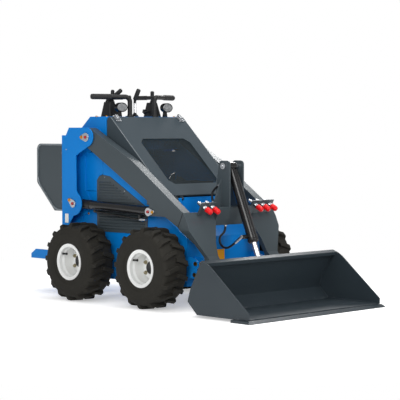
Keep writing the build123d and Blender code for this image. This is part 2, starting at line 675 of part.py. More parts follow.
pins = []
with BuildPart() as lift_pin:
    disc(LIFT_ON_ARM, LIFT_PIN_R, -arm_in - ARM_PLATE, -arm_out + ARM_PLATE)
    pin_flag(LIFT_ON_ARM, -arm_out, 1)
    disc(LIFT_ON_ARM, LIFT_PIN_R + 11, -arm_out, -arm_out - PIN_HEAD)
    disc(LIFT_ON_ARM, 9, -arm_out - PIN_HEAD, -arm_out - PIN_HEAD - 6)
pins += list(lift_pin.part.solids())
pins += list(mirror(lift_pin.part, about=Plane.XZ).solids())
with BuildPart() as tilt_pin:
    disc(TILT_TOP, TILT_PIN_R, -tower_out, tower_out)
    for sign in (-1, 1):
        disc(TILT_TOP, TILT_EYE_R, sign * (half_tilt_eye + 1), sign * TOWER_IN)
        disc(TILT_TOP, TILT_PIN_R + 7, sign * tower_out, sign * (tower_out + PIN_HEAD))
pins += list(tilt_pin.part.solids())
save(Compound(children=pins), "boom_pins")

# ------------------------------------------------------------------- hoses
HOSE_R = 7.0
NUT_R = 9.5
ELBOW_LENGTH = 70.0
HOSE_TILT_START = (422.0, -48.0)
HOSE_TILT_END = Vector(540, -82, 402)
hose_rise = Vector(0.81, 0, 0.59).normalized()
hose_tilt_route = [
    (*HOSE_TILT_START, BRIDGE_LOW_Z - 9 - SEAT_GAP), (422, -50, 460), (402, -80, 432),
    (408, -82, 387), (446, -83, 363), (494, -83, 369), tuple(HOSE_TILT_END - hose_rise * SEAT_GAP),
]
hose_tower_route = [
    (390, -76, 748), (350, -82, 721), (344, -90, 682), (361, -97, 648),
]


def hose(route):
    """Round hose of straight runs and bends, each bend as wide as its shorter run allows."""
    points = [Vector(*point) for point in route]
    radii = []
    for before, corner, after in zip(points, points[1:], points[2:]):
        turn = (corner - before).get_angle(after - corner)
        shorter = min((corner - before).length, (after - corner).length)
        radii.append(0.45 * shorter / tan(radians(turn / 2)))
    print("hose bends", [round(radius) for radius in radii])
    with BuildPart() as tube:
        with BuildLine() as path:
            FilletPolyline(*points, radius=radii)
        with BuildSketch(Plane(origin=points[0], z_dir=points[1] - points[0])):
            Circle(HOSE_R)
        sweep(path=path.line)
    print("hose length", round(path.wire().length))
    return tube.part


save(hose(hose_tilt_route), "hose_tilt")
save(hose(hose_tower_route), "hose_tower")
tower_run = Vector(*hose_tower_route[-1]) - Vector(*hose_tower_route[-2])
with BuildPart() as start_nut:
    bar((*HOSE_TILT_START, BRIDGE_LOW_Z), Vector(0, 0, -1), 0, 9, NUT_R)
with BuildPart() as gusset_nut:
    tower_start = Vector(*hose_tower_route[0]) - Vector(*hose_tower_route[1])
    bar(hose_tower_route[0], tower_start.normalized(), SEAT_GAP, 30, NUT_R)
    split(bisect_by=Plane.YZ.offset(GUSSET_X), keep=Keep.BOTTOM)
with BuildPart() as bridge_nut:
    bar(hose_tower_route[-1], tower_run.normalized(), SEAT_GAP, 60, NUT_R)
    split(bisect_by=Plane.XY.offset(BRIDGE_TOP_Z), keep=Keep.TOP)
with BuildPart() as elbow:
    bar(HOSE_TILT_END, hose_rise, 0, ELBOW_LENGTH, NUT_R)
save(Compound(children=[start_nut.part, gusset_nut.part, bridge_nut.part, elbow.part]), "hose_nuts")

# ---------------------------------------------------------------- couplers
bodies, caps = [], []
for y in COUPLER_YS:
    rear = (COUPLER_REAR[0], y, COUPLER_REAR[1])
    with BuildPart() as coupler:
        bar(rear, coupler_dir, 0, COUPLER_PLATE_AT, COUPLER_R - 2)
        front_at = COUPLER_PLATE_AT + COUPLER_PLATE
        bar(rear, coupler_dir, front_at, COUPLER_CAP_AT - front_at, COUPLER_R)
    bodies += list(coupler.part.solids())
    with BuildPart() as cap:
        bar(rear, coupler_dir, COUPLER_CAP_AT, COUPLER_CAP_LENGTH, COUPLER_CAP_R)
        fillet(cap.faces().sort_by(Axis((0, 0, 0), coupler_dir))[-1].edges(), COUPLER_CAP_R / 3)
    caps.append(cap.part)
save(Compound(children=bodies), "couplers")
save(Compound(children=caps), "coupler_caps")

# ----------------------------------------------------------- lift cylinders
lift_run = Vector(LIFT_LOW[0] - LIFT_ON_ARM[0], 0, LIFT_LOW[1] - LIFT_ON_ARM[1])
lift_rest = lift_run.length
lift_dir = lift_run.normalized()


for side, sign in SIDES:
    y = sign * arm_mid
    hinge = (LIFT_ON_ARM[0], y, LIFT_ON_ARM[1])
    half_eye = LIFT_EYE_WIDTH / 2
    with BuildPart() as lift_barrel:
        bar(hinge, lift_dir, LIFT_BARREL_START, LIFT_BARREL_LENGTH, LIFT_BARREL_R)
        bar(hinge, lift_dir, 12, LIFT_BARREL_START - 10, 20)
        disc(LIFT_ON_ARM, ARM_LIFT_EAR_R, y - half_eye, y + half_eye)
        disc(LIFT_ON_ARM, LIFT_PIN_R + PIN_CLEARANCE, y - half_eye, y + half_eye, mode=Mode.SUBTRACT)
        pipe_low, pipe_high = Vector(-10, y, 532), Vector(-437, y, 566)
        pipe_run = pipe_high - pipe_low
        bar((-10, y, 532), pipe_run.normalized(), -9, pipe_run.length + 18, PIPE_R + 1)
        for foot in (pipe_low, pipe_high):
            with BuildSketch(Plane.XY.offset(foot.Z)) as stub:
                with Locations((foot.X, foot.Y)):
                    Circle(PIPE_R + 4)
            extrude(stub.sketch, amount=LIFT_ON_ARM[1] - foot.Z)
        bar(hinge, lift_dir, LIFT_BARREL_START + 20, LIFT_BARREL_LENGTH, LIFT_ROD_R + PIN_CLEARANCE,
            mode=Mode.SUBTRACT)
    save(lift_barrel.part, f"lift_barrel_{side}")
    with BuildPart() as lift_rod:
        bar(hinge, lift_dir, lift_rest - LIFT_ROD_LENGTH, LIFT_ROD_LENGTH, LIFT_ROD_R)
        disc(LIFT_LOW, LIFT_EYE_R, y - half_eye, y + half_eye)
        disc(LIFT_LOW, LIFT_PIN_R, sign * (body_half + PILLAR_PLATE + 0.5), sign * (pillar_in - 0.5))
    save(lift_rod.part, f"lift_rod_{side}")

# ------------------------------------------------------------ tilt cylinder
tilt_run = Vector(TILT_EYE[0] - TILT_TOP[0], 0, TILT_EYE[1] - TILT_TOP[1])
tilt_rest = tilt_run.length
tilt_dir = tilt_run.normalized()
tilt_hinge = (TILT_TOP[0], 0, TILT_TOP[1])
with BuildPart() as tilt_barrel:
    bar(tilt_hinge, tilt_dir, TILT_BARREL_START, TILT_BARREL_LENGTH, TILT_BARREL_R)
    bar(tilt_hinge, tilt_dir, 10, TILT_BARREL_START - 8, 20)
    disc(TILT_TOP, TILT_EYE_R + 4, -half_tilt_eye, half_tilt_eye)
    disc(TILT_TOP, TILT_PIN_R + PIN_CLEARANCE, -half_tilt_eye, half_tilt_eye, mode=Mode.SUBTRACT)
    pipe_line = (TILT_TOP[0], TILT_BARREL_R + PIPE_R - 1, TILT_TOP[1])
    pipe_end = TILT_BARREL_START + TILT_BARREL_LENGTH - 20
    bar(pipe_line, tilt_dir, 70, pipe_end - 70, PIPE_R)
    for block_at in (66, pipe_end - 24):
        bar(pipe_line, tilt_dir, block_at, 28, PIPE_R + 4)
    port = HOSE_TILT_END + hose_rise * (ELBOW_LENGTH - NUT_R)
    disc((port.X, port.Z), NUT_R + 3, -TILT_BARREL_R + 8, HOSE_TILT_END.Y + NUT_R + SEAT_GAP)
    bar(tilt_hinge, tilt_dir, TILT_BARREL_START + 20, TILT_BARREL_LENGTH, TILT_ROD_R + PIN_CLEARANCE,
        mode=Mode.SUBTRACT)
save(tilt_barrel.part, "tilt_barrel")
with BuildPart() as tilt_rod:
    bar(tilt_hinge, tilt_dir, tilt_rest - TILT_ROD_LENGTH, TILT_ROD_LENGTH, TILT_ROD_R)
    disc(TILT_EYE, TILT_EYE_R, -half_tilt_eye, half_tilt_eye)
    disc(TILT_EYE, TILT_PIN_R, -half_tilt_eye - 8, half_tilt_eye + 8)
save(tilt_rod.part, "tilt_rod")

# ------------------------------------------------------- bucket and attach
bucket_top = (753.0, 335.0)
bucket_mid = (660.0, 159.0)
bucket_heel = (639.0, 89.0)
bucket_floor_rear = (717.0, EDGE_THICK)
bucket_floor_front = (1120.0, EDGE_THICK)
back_angle = atan2(bucket_top[1] - bucket_mid[1], bucket_top[0] - bucket_mid[0])
back_normal = (sin(back_angle), -cos(back_angle))
bucket_shell_out = [bucket_top, bucket_mid, bucket_heel, bucket_floor_rear, bucket_floor_front]
bucket_shell_in = [
    (bucket_floor_front[0], EDGE_THICK + BUCKET_SHEET), (bucket_floor_rear[0] + 3, EDGE_THICK + BUCKET_SHEET),
    (bucket_heel[0] + BUCKET_SHEET + 1, bucket_heel[1] + 3),
    (bucket_mid[0] + BUCKET_SHEET * back_normal[0], bucket_mid[1] + BUCKET_SHEET * back_normal[1]),
    (bucket_top[0] + BUCKET_SHEET * back_normal[0], bucket_top[1] + BUCKET_SHEET * back_normal[1]),
]
bucket_side = [
    bucket_top, bucket_mid, bucket_heel, bucket_floor_rear, bucket_floor_front,
    (1133, 22), (1133, 55), (832, 299), (800, 318),
]
bucket_half = BUCKET_WIDTH / 2
with BuildPart() as bucket:
    slab(bucket_shell_out + bucket_shell_in, -bucket_half, bucket_half)
    for sign in (-1, 1):
        slab(bucket_side, sign * bucket_half, sign * (bucket_half - BUCKET_SIDE))
    slab([
        bucket_top, (bucket_top[0] + 34, bucket_top[1] - 14), (bucket_top[0] + 24, bucket_top[1] - 36),
        (bucket_top[0] - 14, bucket_top[1] - 24),
    ], -bucket_half, bucket_half)
save(bucket.part, "bucket")
with BuildPart() as cutting_edge:
    slab([
        (EDGE_TIP_X - EDGE_DEPTH, 0), (EDGE_TIP_X, 0), (EDGE_TIP_X - 2, 3),
        (EDGE_TIP_X - 30, EDGE_THICK), (EDGE_TIP_X - EDGE_DEPTH, EDGE_THICK),
    ], -EDGE_WIDTH / 2, EDGE_WIDTH / 2)
save(cutting_edge.part, "cutting_edge")

ATTACH_HALF = 370.0
ATTACH_THICK = 12.0
ATTACH_EAR = 12.0


def behind(point, distance):
    """A side-view point moved back from the bucket's rear face."""
    return (point[0] - distance * back_normal[0], point[1] - distance * back_normal[1])


def along_back(distance):
    """Side-view point up the bucket's rear face from its lower bend."""
    return (bucket_mid[0] + distance * cos(back_angle), bucket_mid[1] + distance * sin(back_angle))


PLATE_LOW = -4.0
PLATE_HIGH = 171.0
NOTCH_LOW = 48.0
plate_top = along_back(PLATE_HIGH)
plate_low = along_back(PLATE_LOW)
eye_ear_in = half_tilt_eye + 8.5
with BuildPart() as attach_plate:
    slab([
        behind(plate_top, 1), behind(plate_top, ATTACH_THICK), behind(plate_low, ATTACH_THICK),
        behind(plate_low, 1),
    ], -ATTACH_HALF, ATTACH_HALF)
    slab([
        behind(along_back(NOTCH_LOW), 0), behind(along_back(PLATE_HIGH + 10), 0),
        behind(along_back(PLATE_HIGH + 10), ATTACH_THICK + 1),
        behind(along_back(NOTCH_LOW), ATTACH_THICK + 1),
    ], -eye_ear_in, eye_ear_in, mode=Mode.SUBTRACT)
    for sign in (-1, 1):
        for y_low in (LEG_Y[0] - 6 - ATTACH_EAR, LEG_Y[1] + 6):
            slab([
                (ATTACH_PIVOT[0] - 20, ATTACH_PIVOT[1] + 20), behind(plate_top, ATTACH_THICK - 4),
                behind(plate_low, ATTACH_THICK - 4), (ATTACH_PIVOT[0] + 4, ATTACH_PIVOT[1] - 28),
            ], sign * y_low, sign * (y_low + ATTACH_EAR))
            disc(ATTACH_PIVOT, 28, sign * y_low, sign * (y_low + ATTACH_EAR))
        slab([
            (TILT_EYE[0] - 18, TILT_EYE[1] - 10), (TILT_EYE[0] + 6, TILT_EYE[1] + 20),
            behind(plate_top, ATTACH_THICK - 4), behind(along_back(NOTCH_LOW - 20), ATTACH_THICK - 4),
        ], sign * eye_ear_in, sign * (eye_ear_in + ATTACH_EAR))
        disc(TILT_EYE, 21, sign * eye_ear_in, sign * (eye_ear_in + ATTACH_EAR))
        disc(ATTACH_PIVOT, ATTACH_PIN_R, sign * (LEG_Y[0] - 8), sign * (LEG_Y[1] + 8))
save(attach_plate.part, "attach_plate")

# ---------------------------------------------------------------- platform
with BuildPart() as platform:
    step_in = step_half - STEP_SHEET
    block((STEP_REAR_X, STEP_HINGE[0] - 20), (-step_in, step_in), (STEP_FLOOR_Z, STEP_FLOOR_Z + STEP_SHEET))
    for sign in (-1, 1):
        slab([
            (STEP_REAR_X, STEP_FLOOR_Z), (STEP_REAR_X, STEP_FLOOR_Z + 30), (STEP_REAR_X + 50, 285),
            (STEP_HINGE[0] - 20, 285), (STEP_HINGE[0] + 14, STEP_HINGE[1] + 12),
            (STEP_HINGE[0] + 14, STEP_HINGE[1] - 12), (STEP_HINGE[0], STEP_FLOOR_Z),
        ], sign * step_half, sign * step_in)
        disc(STEP_HINGE, HINGE_PIN_R + PIN_CLEARANCE, sign * step_half, sign * step_in,
             mode=Mode.SUBTRACT)
    block((STEP_REAR_X, STEP_REAR_X + STEP_SHEET), (-step_in, step_in), (STEP_FLOOR_Z, STEP_FLOOR_Z + 34))
save(platform.part, "platform")

with BuildPart() as step_bracket:
    y_high = -step_in + SEAT_GAP + 3
    slab([
        (BODY_REAR_X, STEP_HINGE[1] - 60), (BODY_REAR_X, STEP_HINGE[1] + 50),
        (STEP_HINGE[0] - 12, STEP_HINGE[1] + 12), (STEP_HINGE[0] - 12, STEP_HINGE[1] - 6),
        (STEP_HINGE[0], STEP_HINGE[1] - 12),
    ], y_high, y_high + 8)
    disc(STEP_HINGE, HINGE_PIN_R, y_high, -step_half - 6)
save(both_sides(step_bracket.part), "step_brackets")

# ------------------------------------------------------------ controls
BAR_R = 15.5
POST_Y = 109.0
POST_X = -386.0
GRIP_RISE = 129.0
GRIP_BEND_R = 34.0
GRIP_END = (-474.0, 366.0)
REAR_BAR = 170.0
grip_z = CONSOLE_TOP_Z + GRIP_RISE
with BuildPart() as handlebar:
    for sign in (-1, 1):
        with BuildLine() as grip_path:
            FilletPolyline(
                (POST_X, sign * POST_Y, CONSOLE_TOP_Z), (POST_X, sign * POST_Y, grip_z),
                (GRIP_END[0], sign * GRIP_END[1], grip_z), radius=GRIP_BEND_R)
        with BuildSketch(Plane.XY.offset(CONSOLE_TOP_Z)) as grip_ring:
            with Locations((POST_X, sign * POST_Y)):
                Circle(BAR_R)
        sweep(grip_ring.sketch, path=grip_path.line)
        bar((POST_X, sign * POST_Y, grip_z - 3), Vector(-1, 0, 0), 0, REAR_BAR, BAR_R - 3)
save(handlebar.part, "handlebar")

POD_RISE = 96.0
POD_Y = 190.0
pods = []
for y in (-POD_Y, POD_Y):
    with BuildPart() as pod:
        with BuildSketch(Plane.XY.offset(CONSOLE_TOP_Z)) as pod_foot:
            with Locations((-492, y)):
                RectangleRounded(100, 84, 14)
        with BuildSketch(Plane.XY.offset(CONSOLE_TOP_Z + POD_RISE)) as pod_top:
            with Locations((-496, y)):
                RectangleRounded(60, 52, 12)
        loft([pod_foot.sketch, pod_top.sketch])
    pods.append(pod.part)
save(Compound(children=pods), "control_pods")

# levers: foot x, y and height over the console, tip x, y and height, stem and
# grip radius, share of the length that is bare stem
lever_table = [
    ((-482, -180, POD_RISE), (-476, -178, POD_RISE + 80), 6, 10.5, 0.55),
    ((-490, 188, POD_RISE), (-488, 186, POD_RISE + 76), 6, 11, 0.5),
    ((-504, -196, POD_RISE), (-412, -158, POD_RISE + 80), 6, 12, 0.45),
    ((-457, 0, 0), (-457, 0, 88), 8, 8, 0.5),
]
levers = []
for foot, tip, stem_r, grip_r, bare in lever_table:
    start = Vector(foot[0], foot[1], CONSOLE_TOP_Z + foot[2])
    lean = Vector(tip[0] - foot[0], tip[1] - foot[1], tip[2] - foot[2])
    with BuildPart() as lever:
        lift_off = stem_r * tan(radians(lean.get_angle(Vector(0, 0, 1)))) + 0.2
        bar(start, lean.normalized(), lift_off, lean.length * 0.8, stem_r)
        bar(start, lean.normalized(), lean.length * bare, lean.length * (1 - bare), grip_r)
        fillet(lever.edges().filter_by(GeomType.CIRCLE).group_by(Axis.Z)[-1], grip_r * 0.6)
    levers.append(lever.part)
with BuildPart() as selector:
    stem_foot = Vector(-457, 0, CONSOLE_TOP_Z + 88)
    bar(stem_foot, Vector(0, 0, 1), 0, 34, 9)
    bar(stem_foot + Vector(0, 0, 26), Vector(0.5, 0, 0.86).normalized(), 0, 78, 13)
    fillet(selector.edges().filter_by(GeomType.CIRCLE).group_by(Axis.Z)[-1], 7)
levers.append(selector.part)
with BuildPart() as star_knob:
    knob_foot = (-492, POD_Y - 37.5, CONSOLE_TOP_Z + 36)
    bar(knob_foot, Vector(0, -1, 0), 0, 22, 6)
    with BuildSketch(along(knob_foot, Vector(0, -1, 0), 20)) as star:
        Circle(11)
        with PolarLocations(11, 5):
            Circle(5.5)
    extrude(star.sketch, amount=20)
levers.append(star_knob.part)
save(Compound(children=levers), "levers")

LAMP_HALF = (46.0, 31.0)
LAMP_RIM = 5.0
LAMP_Y = 203.0
LAMP_RISE = 60.0
LAMP_BOWL = 16.0
LAMP_DEPTH = 26.0
LAMP_MID_X = -382.0
lamps, lenses = [], []
for y in (-LAMP_Y, LAMP_Y):
    lamp_z = CONSOLE_TOP_Z + LAMP_RISE
    lamp_plane = Plane(origin=(LAMP_MID_X, y, lamp_z), x_dir=(0, 1, 0), z_dir=(1, 0, 0))
    with BuildPart() as lamp:
        with BuildSketch(lamp_plane) as housing_face:
            Ellipse(*LAMP_HALF)
        extrude(housing_face.sketch, amount=LAMP_DEPTH)
        with BuildSketch(lamp_plane.offset(-LAMP_BOWL)) as bowl_face:
            Ellipse(LAMP_HALF[0] * 0.55, LAMP_HALF[1] * 0.55)
        loft([bowl_face.sketch, housing_face.sketch])
        with BuildSketch(lamp_plane.offset(LAMP_DEPTH)) as recess:
            Ellipse(LAMP_HALF[0] - LAMP_RIM, LAMP_HALF[1] - LAMP_RIM)
        extrude(recess.sketch, amount=-5, mode=Mode.SUBTRACT)
        block((LAMP_MID_X - 10, LAMP_MID_X + 4), (y - 10, y + 10), (CONSOLE_TOP_Z, lamp_z - 20))
    lamps.append(lamp.part)
    with BuildPart() as lens:
        with BuildSketch(lamp_plane.offset(LAMP_DEPTH - 5)) as lens_face:
            Ellipse(LAMP_HALF[0] - LAMP_RIM - SEAT_GAP, LAMP_HALF[1] - LAMP_RIM - SEAT_GAP)
        extrude(lens_face.sketch, amount=7)
        fillet(lens.faces().sort_by(Axis.X)[-1].edges(), 3)
    lenses.append(lens.part)
save(Compound(children=lamps), "work_lamps")
save(Compound(children=lenses), "lamp_lenses")
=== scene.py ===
from math import acos, cos, pi, radians, sin

import bpy
from mathutils import Matrix, Vector


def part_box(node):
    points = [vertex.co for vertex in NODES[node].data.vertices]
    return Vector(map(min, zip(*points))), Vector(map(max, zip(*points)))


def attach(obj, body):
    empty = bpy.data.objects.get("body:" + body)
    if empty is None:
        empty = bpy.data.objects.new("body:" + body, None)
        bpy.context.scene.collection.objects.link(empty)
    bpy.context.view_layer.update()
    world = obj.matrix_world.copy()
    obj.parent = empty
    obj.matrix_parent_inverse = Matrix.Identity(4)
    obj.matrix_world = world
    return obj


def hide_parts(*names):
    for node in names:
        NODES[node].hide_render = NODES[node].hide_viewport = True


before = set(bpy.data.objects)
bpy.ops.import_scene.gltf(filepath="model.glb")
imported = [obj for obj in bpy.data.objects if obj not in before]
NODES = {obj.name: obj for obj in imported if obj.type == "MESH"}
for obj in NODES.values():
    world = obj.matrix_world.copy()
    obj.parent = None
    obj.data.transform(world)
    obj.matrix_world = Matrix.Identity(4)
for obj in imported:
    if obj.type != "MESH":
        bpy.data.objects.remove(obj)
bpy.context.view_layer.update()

# ------------------------------------------------------------------ camera
# The viewer stands off the machine's front right corner, with eyes near the
# height of the controls, and looks slightly down at it through a long lens.
EYE = Vector((6.9195, -6.7514, 1.1004))
LOOK_YAW = radians(135.07)
LOOK_DOWN = radians(2.712)
LENS = 135.95
SENSOR = 36
UP = (0, 0, 1)

look = Vector((cos(LOOK_YAW) * cos(LOOK_DOWN), sin(LOOK_YAW) * cos(LOOK_DOWN), -sin(LOOK_DOWN)))
side = look.cross(Vector(UP)).normalized()
rise = side.cross(look)
camera_data = bpy.data.cameras.new("camera")
camera_data.lens = LENS
camera_data.sensor_width = SENSOR
camera = bpy.data.objects.new("camera", camera_data)
camera.matrix_world = Matrix((
    (side.x, rise.x, -look.x, EYE.x),
    (side.y, rise.y, -look.y, EYE.y),
    (side.z, rise.z, -look.z, EYE.z),
    (0, 0, 0, 1),
))
bpy.context.scene.collection.objects.link(camera)
bpy.context.scene.camera = camera
bpy.context.scene.view_settings.view_transform = "Standard"


class Wire:
    """A shader socket that can stand in a Python expression."""

    def __init__(self, tree, socket):
        self.tree = tree
        self.socket = socket

    def maths(self, operation, first, second=0.0, clamp=False):
        """The outcome of a Math node fed with wires or numbers."""
        node = self.tree.nodes.new("ShaderNodeMath")
        node.operation = operation
        node.use_clamp = clamp
        for slot, value in zip(node.inputs, (first, second)):
            if isinstance(value, Wire):
                self.tree.links.new(value.socket, slot)
            else:
                slot.default_value = value
        return Wire(self.tree, node.outputs[0])

    def __add__(self, other):
        return self.maths("ADD", self, other)

    def __radd__(self, other):
        return self.maths("ADD", other, self)

    def __sub__(self, other):
        return self.maths("SUBTRACT", self, other)

    def __rsub__(self, other):
        return self.maths("SUBTRACT", other, self)

    def __mul__(self, other):
        return self.maths("MULTIPLY", self, other)

    def __rmul__(self, other):
        return self.maths("MULTIPLY", other, self)

    def __truediv__(self, other):
        return self.maths("DIVIDE", self, other)

    def sine(self):
        return self.maths("SINE", self)

    def clamped(self):
        return self.maths("ADD", self, 0.0, clamp=True)


class Finish:
    """A node material that is put together one node at a time."""

    def __init__(self, name):
        self.material = bpy.data.materials.new(name)
        self.material.use_nodes = True
        self.tree = self.material.node_tree
        self.shader = self.tree.nodes["Principled BSDF"]

    def node(self, kind, settings=None, **values):
        """Add a node: its settings first, then the values or links of its sockets."""
        node = self.tree.nodes.new("ShaderNode" + kind)
        for name, value in (settings or {}).items():
            setattr(node, name, value)
        for name, value in values.items():
            self.feed(node, name.replace("_", " "), value)
        return node

    def feed(self, node, name, value):
        """Link a wire to a socket, or set the socket to a plain value."""
        socket = node.inputs[name]
        if isinstance(value, Wire):
            self.tree.links.new(value.socket, socket)
        else:
            socket.default_value = value

    def wire(self, node, output=0):
        return Wire(self.tree, node.outputs[output])

    def place(self):
        return self.wire(self.node("TexCoord"), "Object")

    def along(self, axis):
        """One coordinate of the place on the object, in metres."""
        return self.wire(self.node("SeparateXYZ", Vector=self.place()), axis)

    def noise(self, scale, detail=3.0, roughness=0.5):
        return self.wire(self.node("TexNoise", Vector=self.place(), Scale=scale,
                                   Detail=detail, Roughness=roughness))

    def mix(self, factor, low, high):
        """Blend two colours by a factor, on the sockets that an RGBA Mix node shows."""
        node = self.node("Mix", {"data_type": "RGBA"})
        self.feed(node, 0, factor)
        self.feed(node, 6, low)
        self.feed(node, 7, high)
        return self.wire(node, 2)

    def bump(self, height, strength, distance):
        """Raise the surface's shading by a height."""
        node = self.node("Bump", Height=height, Strength=strength, Distance=distance)
        self.feed(self.shader, "Normal", self.wire(node, "Normal"))

    def set(self, **values):
        """Feed the shader's sockets, and give back the finished material."""
        for name, value in values.items():
            self.feed(self.shader, name.replace("_", " "), value)
        return self.material


def colour(red, green, blue, alpha=1.0):
    """A colour from 0-255 display values, as the linear values a shader takes."""
    def linear(value):
        value = value / 255
        return value / 12.92 if value <= 0.04045 else ((value + 0.055) / 1.055) ** 2.4
    return (linear(red), linear(green), linear(blue), alpha)


def mm(*values):
    """A point or a step given in millimetres."""
    return Vector(values) / 1000


def fit(piece, body, material):
    """Fix a finished piece to the body it moves with, and give it its finish."""
    piece.data.materials.clear()
    piece.data.materials.append(material)
    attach(piece, body)
    return piece


def rubber(name, base, rough, grain, peel=0.2, gloss=0.35):
    """Moulded rubber or plastic: an even tone with a fine grain and duller patches."""
    finish = Finish(name)
    finish.bump(finish.noise(grain, detail=2.0), peel, 0.0004)
    worn = finish.noise(9.0)
    lighter = tuple(min(1.0, value * 1.35) for value in base[:3]) + (1.0,)
    return finish.set(Base_Color=finish.mix(worn, base, lighter), Specular_IOR_Level=gloss,
                      Roughness=rough + 0.16 * (finish.noise(35.0) - 0.5))


HOSE_D = 0.014
hose_rubber = rubber("hose_rubber", colour(22, 22, 23), 0.42, 1400.0)
HOSES = (
    ("tilt_hose", "hose_tilt", 0.262, (
        (422, -48, 495.7), (422, -50, 460), (402, -80, 432), (408, -82, 387), (446, -83, 363),
        (494, -83, 369), (539.76, -82, 401.82))),
    ("tower_hose", "hose_tower", 0.122, (
        (390, -76, 748), (350, -82, 721), (344, -90, 682), (361, -97, 648))),
)
for name, node, length, route in HOSES:
    line = bpy.data.curves.new(name, "CURVE")
    line.dimensions = "3D"
    line.bevel_depth = HOSE_D / 2
    line.bevel_resolution = 6
    line.resolution_u = 10
    line.use_fill_caps = True
    spline = line.splines.new("NURBS")
    spline.points.add(len(route) - 1)
    for point, place in zip(spline.points, route):
        point.co = (*mm(*place), 1.0)
    spline.order_u = 3
    spline.use_endpoint_u = True
    tube = bpy.data.objects.new(name, line)
    bpy.context.scene.collection.objects.link(tube)
    fit(tube, "boom", hose_rubber)
    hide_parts(node)


# --------------------------------------------------------------- blue body
# Hull, cowl, console, pillars and step are laser-cut and folded steel plate,
# welded and powder coated in one bright blue, with strips that close the cowl
# and the pillars' feet. Screws are yellow zinc.
SHARP = 32
FLAT = 0.6
SAME_POINT = 0.00001
ORIGIN = (0, 0, 0)


def only(piece):
    """Select one piece and nothing else."""
    bpy.ops.object.select_all(action="DESELECT")
    piece.select_set(True)
    bpy.context.view_layer.objects.active = piece


def copied(name, source):
    """A new piece with its own copy of another piece's mesh."""
    piece = bpy.data.objects.new(name, source.data.copy())
    bpy.context.scene.collection.objects.link(piece)
    return piece


def edit_all():
    """Enter edit mode on the active piece, with everything selected."""
    bpy.ops.object.mode_set(mode="EDIT")
    bpy.ops.mesh.select_all(action="SELECT")


def ease_edges(piece, width, segments=2, angle=SHARP, clamp=True):
    """Round a piece's sharp edges by a width in mm."""
    only(piece)
    bpy.ops.object.modifier_add(type="BEVEL")
    easing = piece.modifiers[-1]
    easing.width = width / 1000
    easing.segments = segments
    easing.limit_method = "ANGLE"
    easing.angle_limit = radians(angle)
    easing.use_clamp_overlap = clamp
    easing.harden_normals = True
    bpy.ops.object.modifier_apply(modifier=easing.name)


def edges_eased(node, width, angle=SHARP):
    """A copy of a CAD node with its hard edges eased, which stands in its place."""
    piece = copied(node + "_eased", NODES[node])
    only(piece)
    edit_all()
    bpy.ops.mesh.remove_doubles(threshold=SAME_POINT)
    bpy.ops.mesh.dissolve_limited(angle_limit=radians(FLAT))
    bpy.ops.object.mode_set(mode="OBJECT")
    bpy.ops.mesh.customdata_custom_splitnormals_clear()
    bpy.ops.object.shade_smooth_by_angle(angle=radians(angle))
    ease_edges(piece, width, angle=angle, clamp=False)
    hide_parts(node)
    return piece


def dress(node, material):
    """Give a CAD node its finish."""
    mesh = NODES[node].data
    mesh.materials.clear()
    mesh.materials.append(material)


DUST_TOP = 0.34


def paint(name, base, shade, rough, coat, peel=0.04, gloss=0.3):
    """Powder coat: two close tones in wide patches, orange peel, and dust low down."""
    finish = Finish(name)
    finish.bump(finish.noise(420.0, detail=2.0), peel, 0.0004)
    tone = finish.mix(finish.noise(3.0), base, shade)
    low = (DUST_TOP - finish.along(2)) / DUST_TOP
    dust = (low.clamped() * finish.noise(11.0, detail=6.0, roughness=0.65) * 0.35).clamped()
    return finish.set(Base_Color=finish.mix(dust, tone, colour(84, 82, 76)),
                      Specular_IOR_Level=gloss, Coat_Weight=coat, Coat_Roughness=0.14,
                      Roughness=rough + 0.14 * (finish.noise(14.0) - 0.5) + dust * 0.4)


def draw(name, points):
    """A line of edges, drawn by extruding one vertex from each point to the next."""
    bpy.ops.object.select_all(action="DESELECT")
    bpy.ops.mesh.primitive_plane_add(size=0.001, location=points[0])
    piece = bpy.context.object
    piece.name = name
    edit_all()
    bpy.ops.mesh.merge(type="CENTER")
    for start, end in zip(points, points[1:]):
        bpy.ops.mesh.extrude_region_move(TRANSFORM_OT_translate={"value": end - start})
    bpy.ops.mesh.select_all(action="SELECT")
    return piece


def settle(piece, smooth=35):
    """Leave edit mode, shade the piece and put its place in its mesh."""
    bpy.ops.object.mode_set(mode="OBJECT")
    only(piece)
    bpy.ops.object.transform_apply(location=True, rotation=True, scale=True)
    bpy.ops.object.shade_smooth_by_angle(angle=radians(smooth))
    return piece


def plate(name, outline, push, ease=0.0, segments=2):
    """A plate: a closed outline in metres, filled, pushed to its thickness and eased."""
    piece = draw(name, list(outline) + [outline[0]])
    bpy.ops.mesh.remove_doubles(threshold=SAME_POINT)
    bpy.ops.mesh.edge_face_add()
    bpy.ops.mesh.extrude_region_move(TRANSFORM_OT_translate={"value": push})
    bpy.ops.mesh.select_all(action="SELECT")
    bpy.ops.mesh.normals_make_consistent(inside=False)
    settle(piece)
    if ease:
        ease_edges(piece, ease, segments)
    return piece


def turned(name, profile, centre, axis, steps=28, smooth=35):
    """A turned piece: the profile gives distances along the axis and radii, in mm."""
    axis = Vector(axis).normalized()
    across = axis.orthogonal().normalized()
    centre = Vector(centre)
    piece = draw(name, [centre + (axis * far + across * radius) / 1000 for far, radius in profile])
    bpy.ops.mesh.spin(steps=steps, angle=2 * pi, center=centre, axis=axis)
    bpy.ops.mesh.select_all(action="SELECT")
    bpy.ops.mesh.remove_doubles(threshold=2 * SAME_POINT)
    bpy.ops.mesh.normals_make_consistent(inside=False)
    return settle(piece, smooth)


def joined(name, pieces):
    """Several pieces made one."""
    only(pieces[0])
    for piece in pieces[1:]:
        piece.select_set(True)
    if len(pieces) > 1:
        bpy.ops.object.join()
    pieces[0].name = name
    return pieces[0]


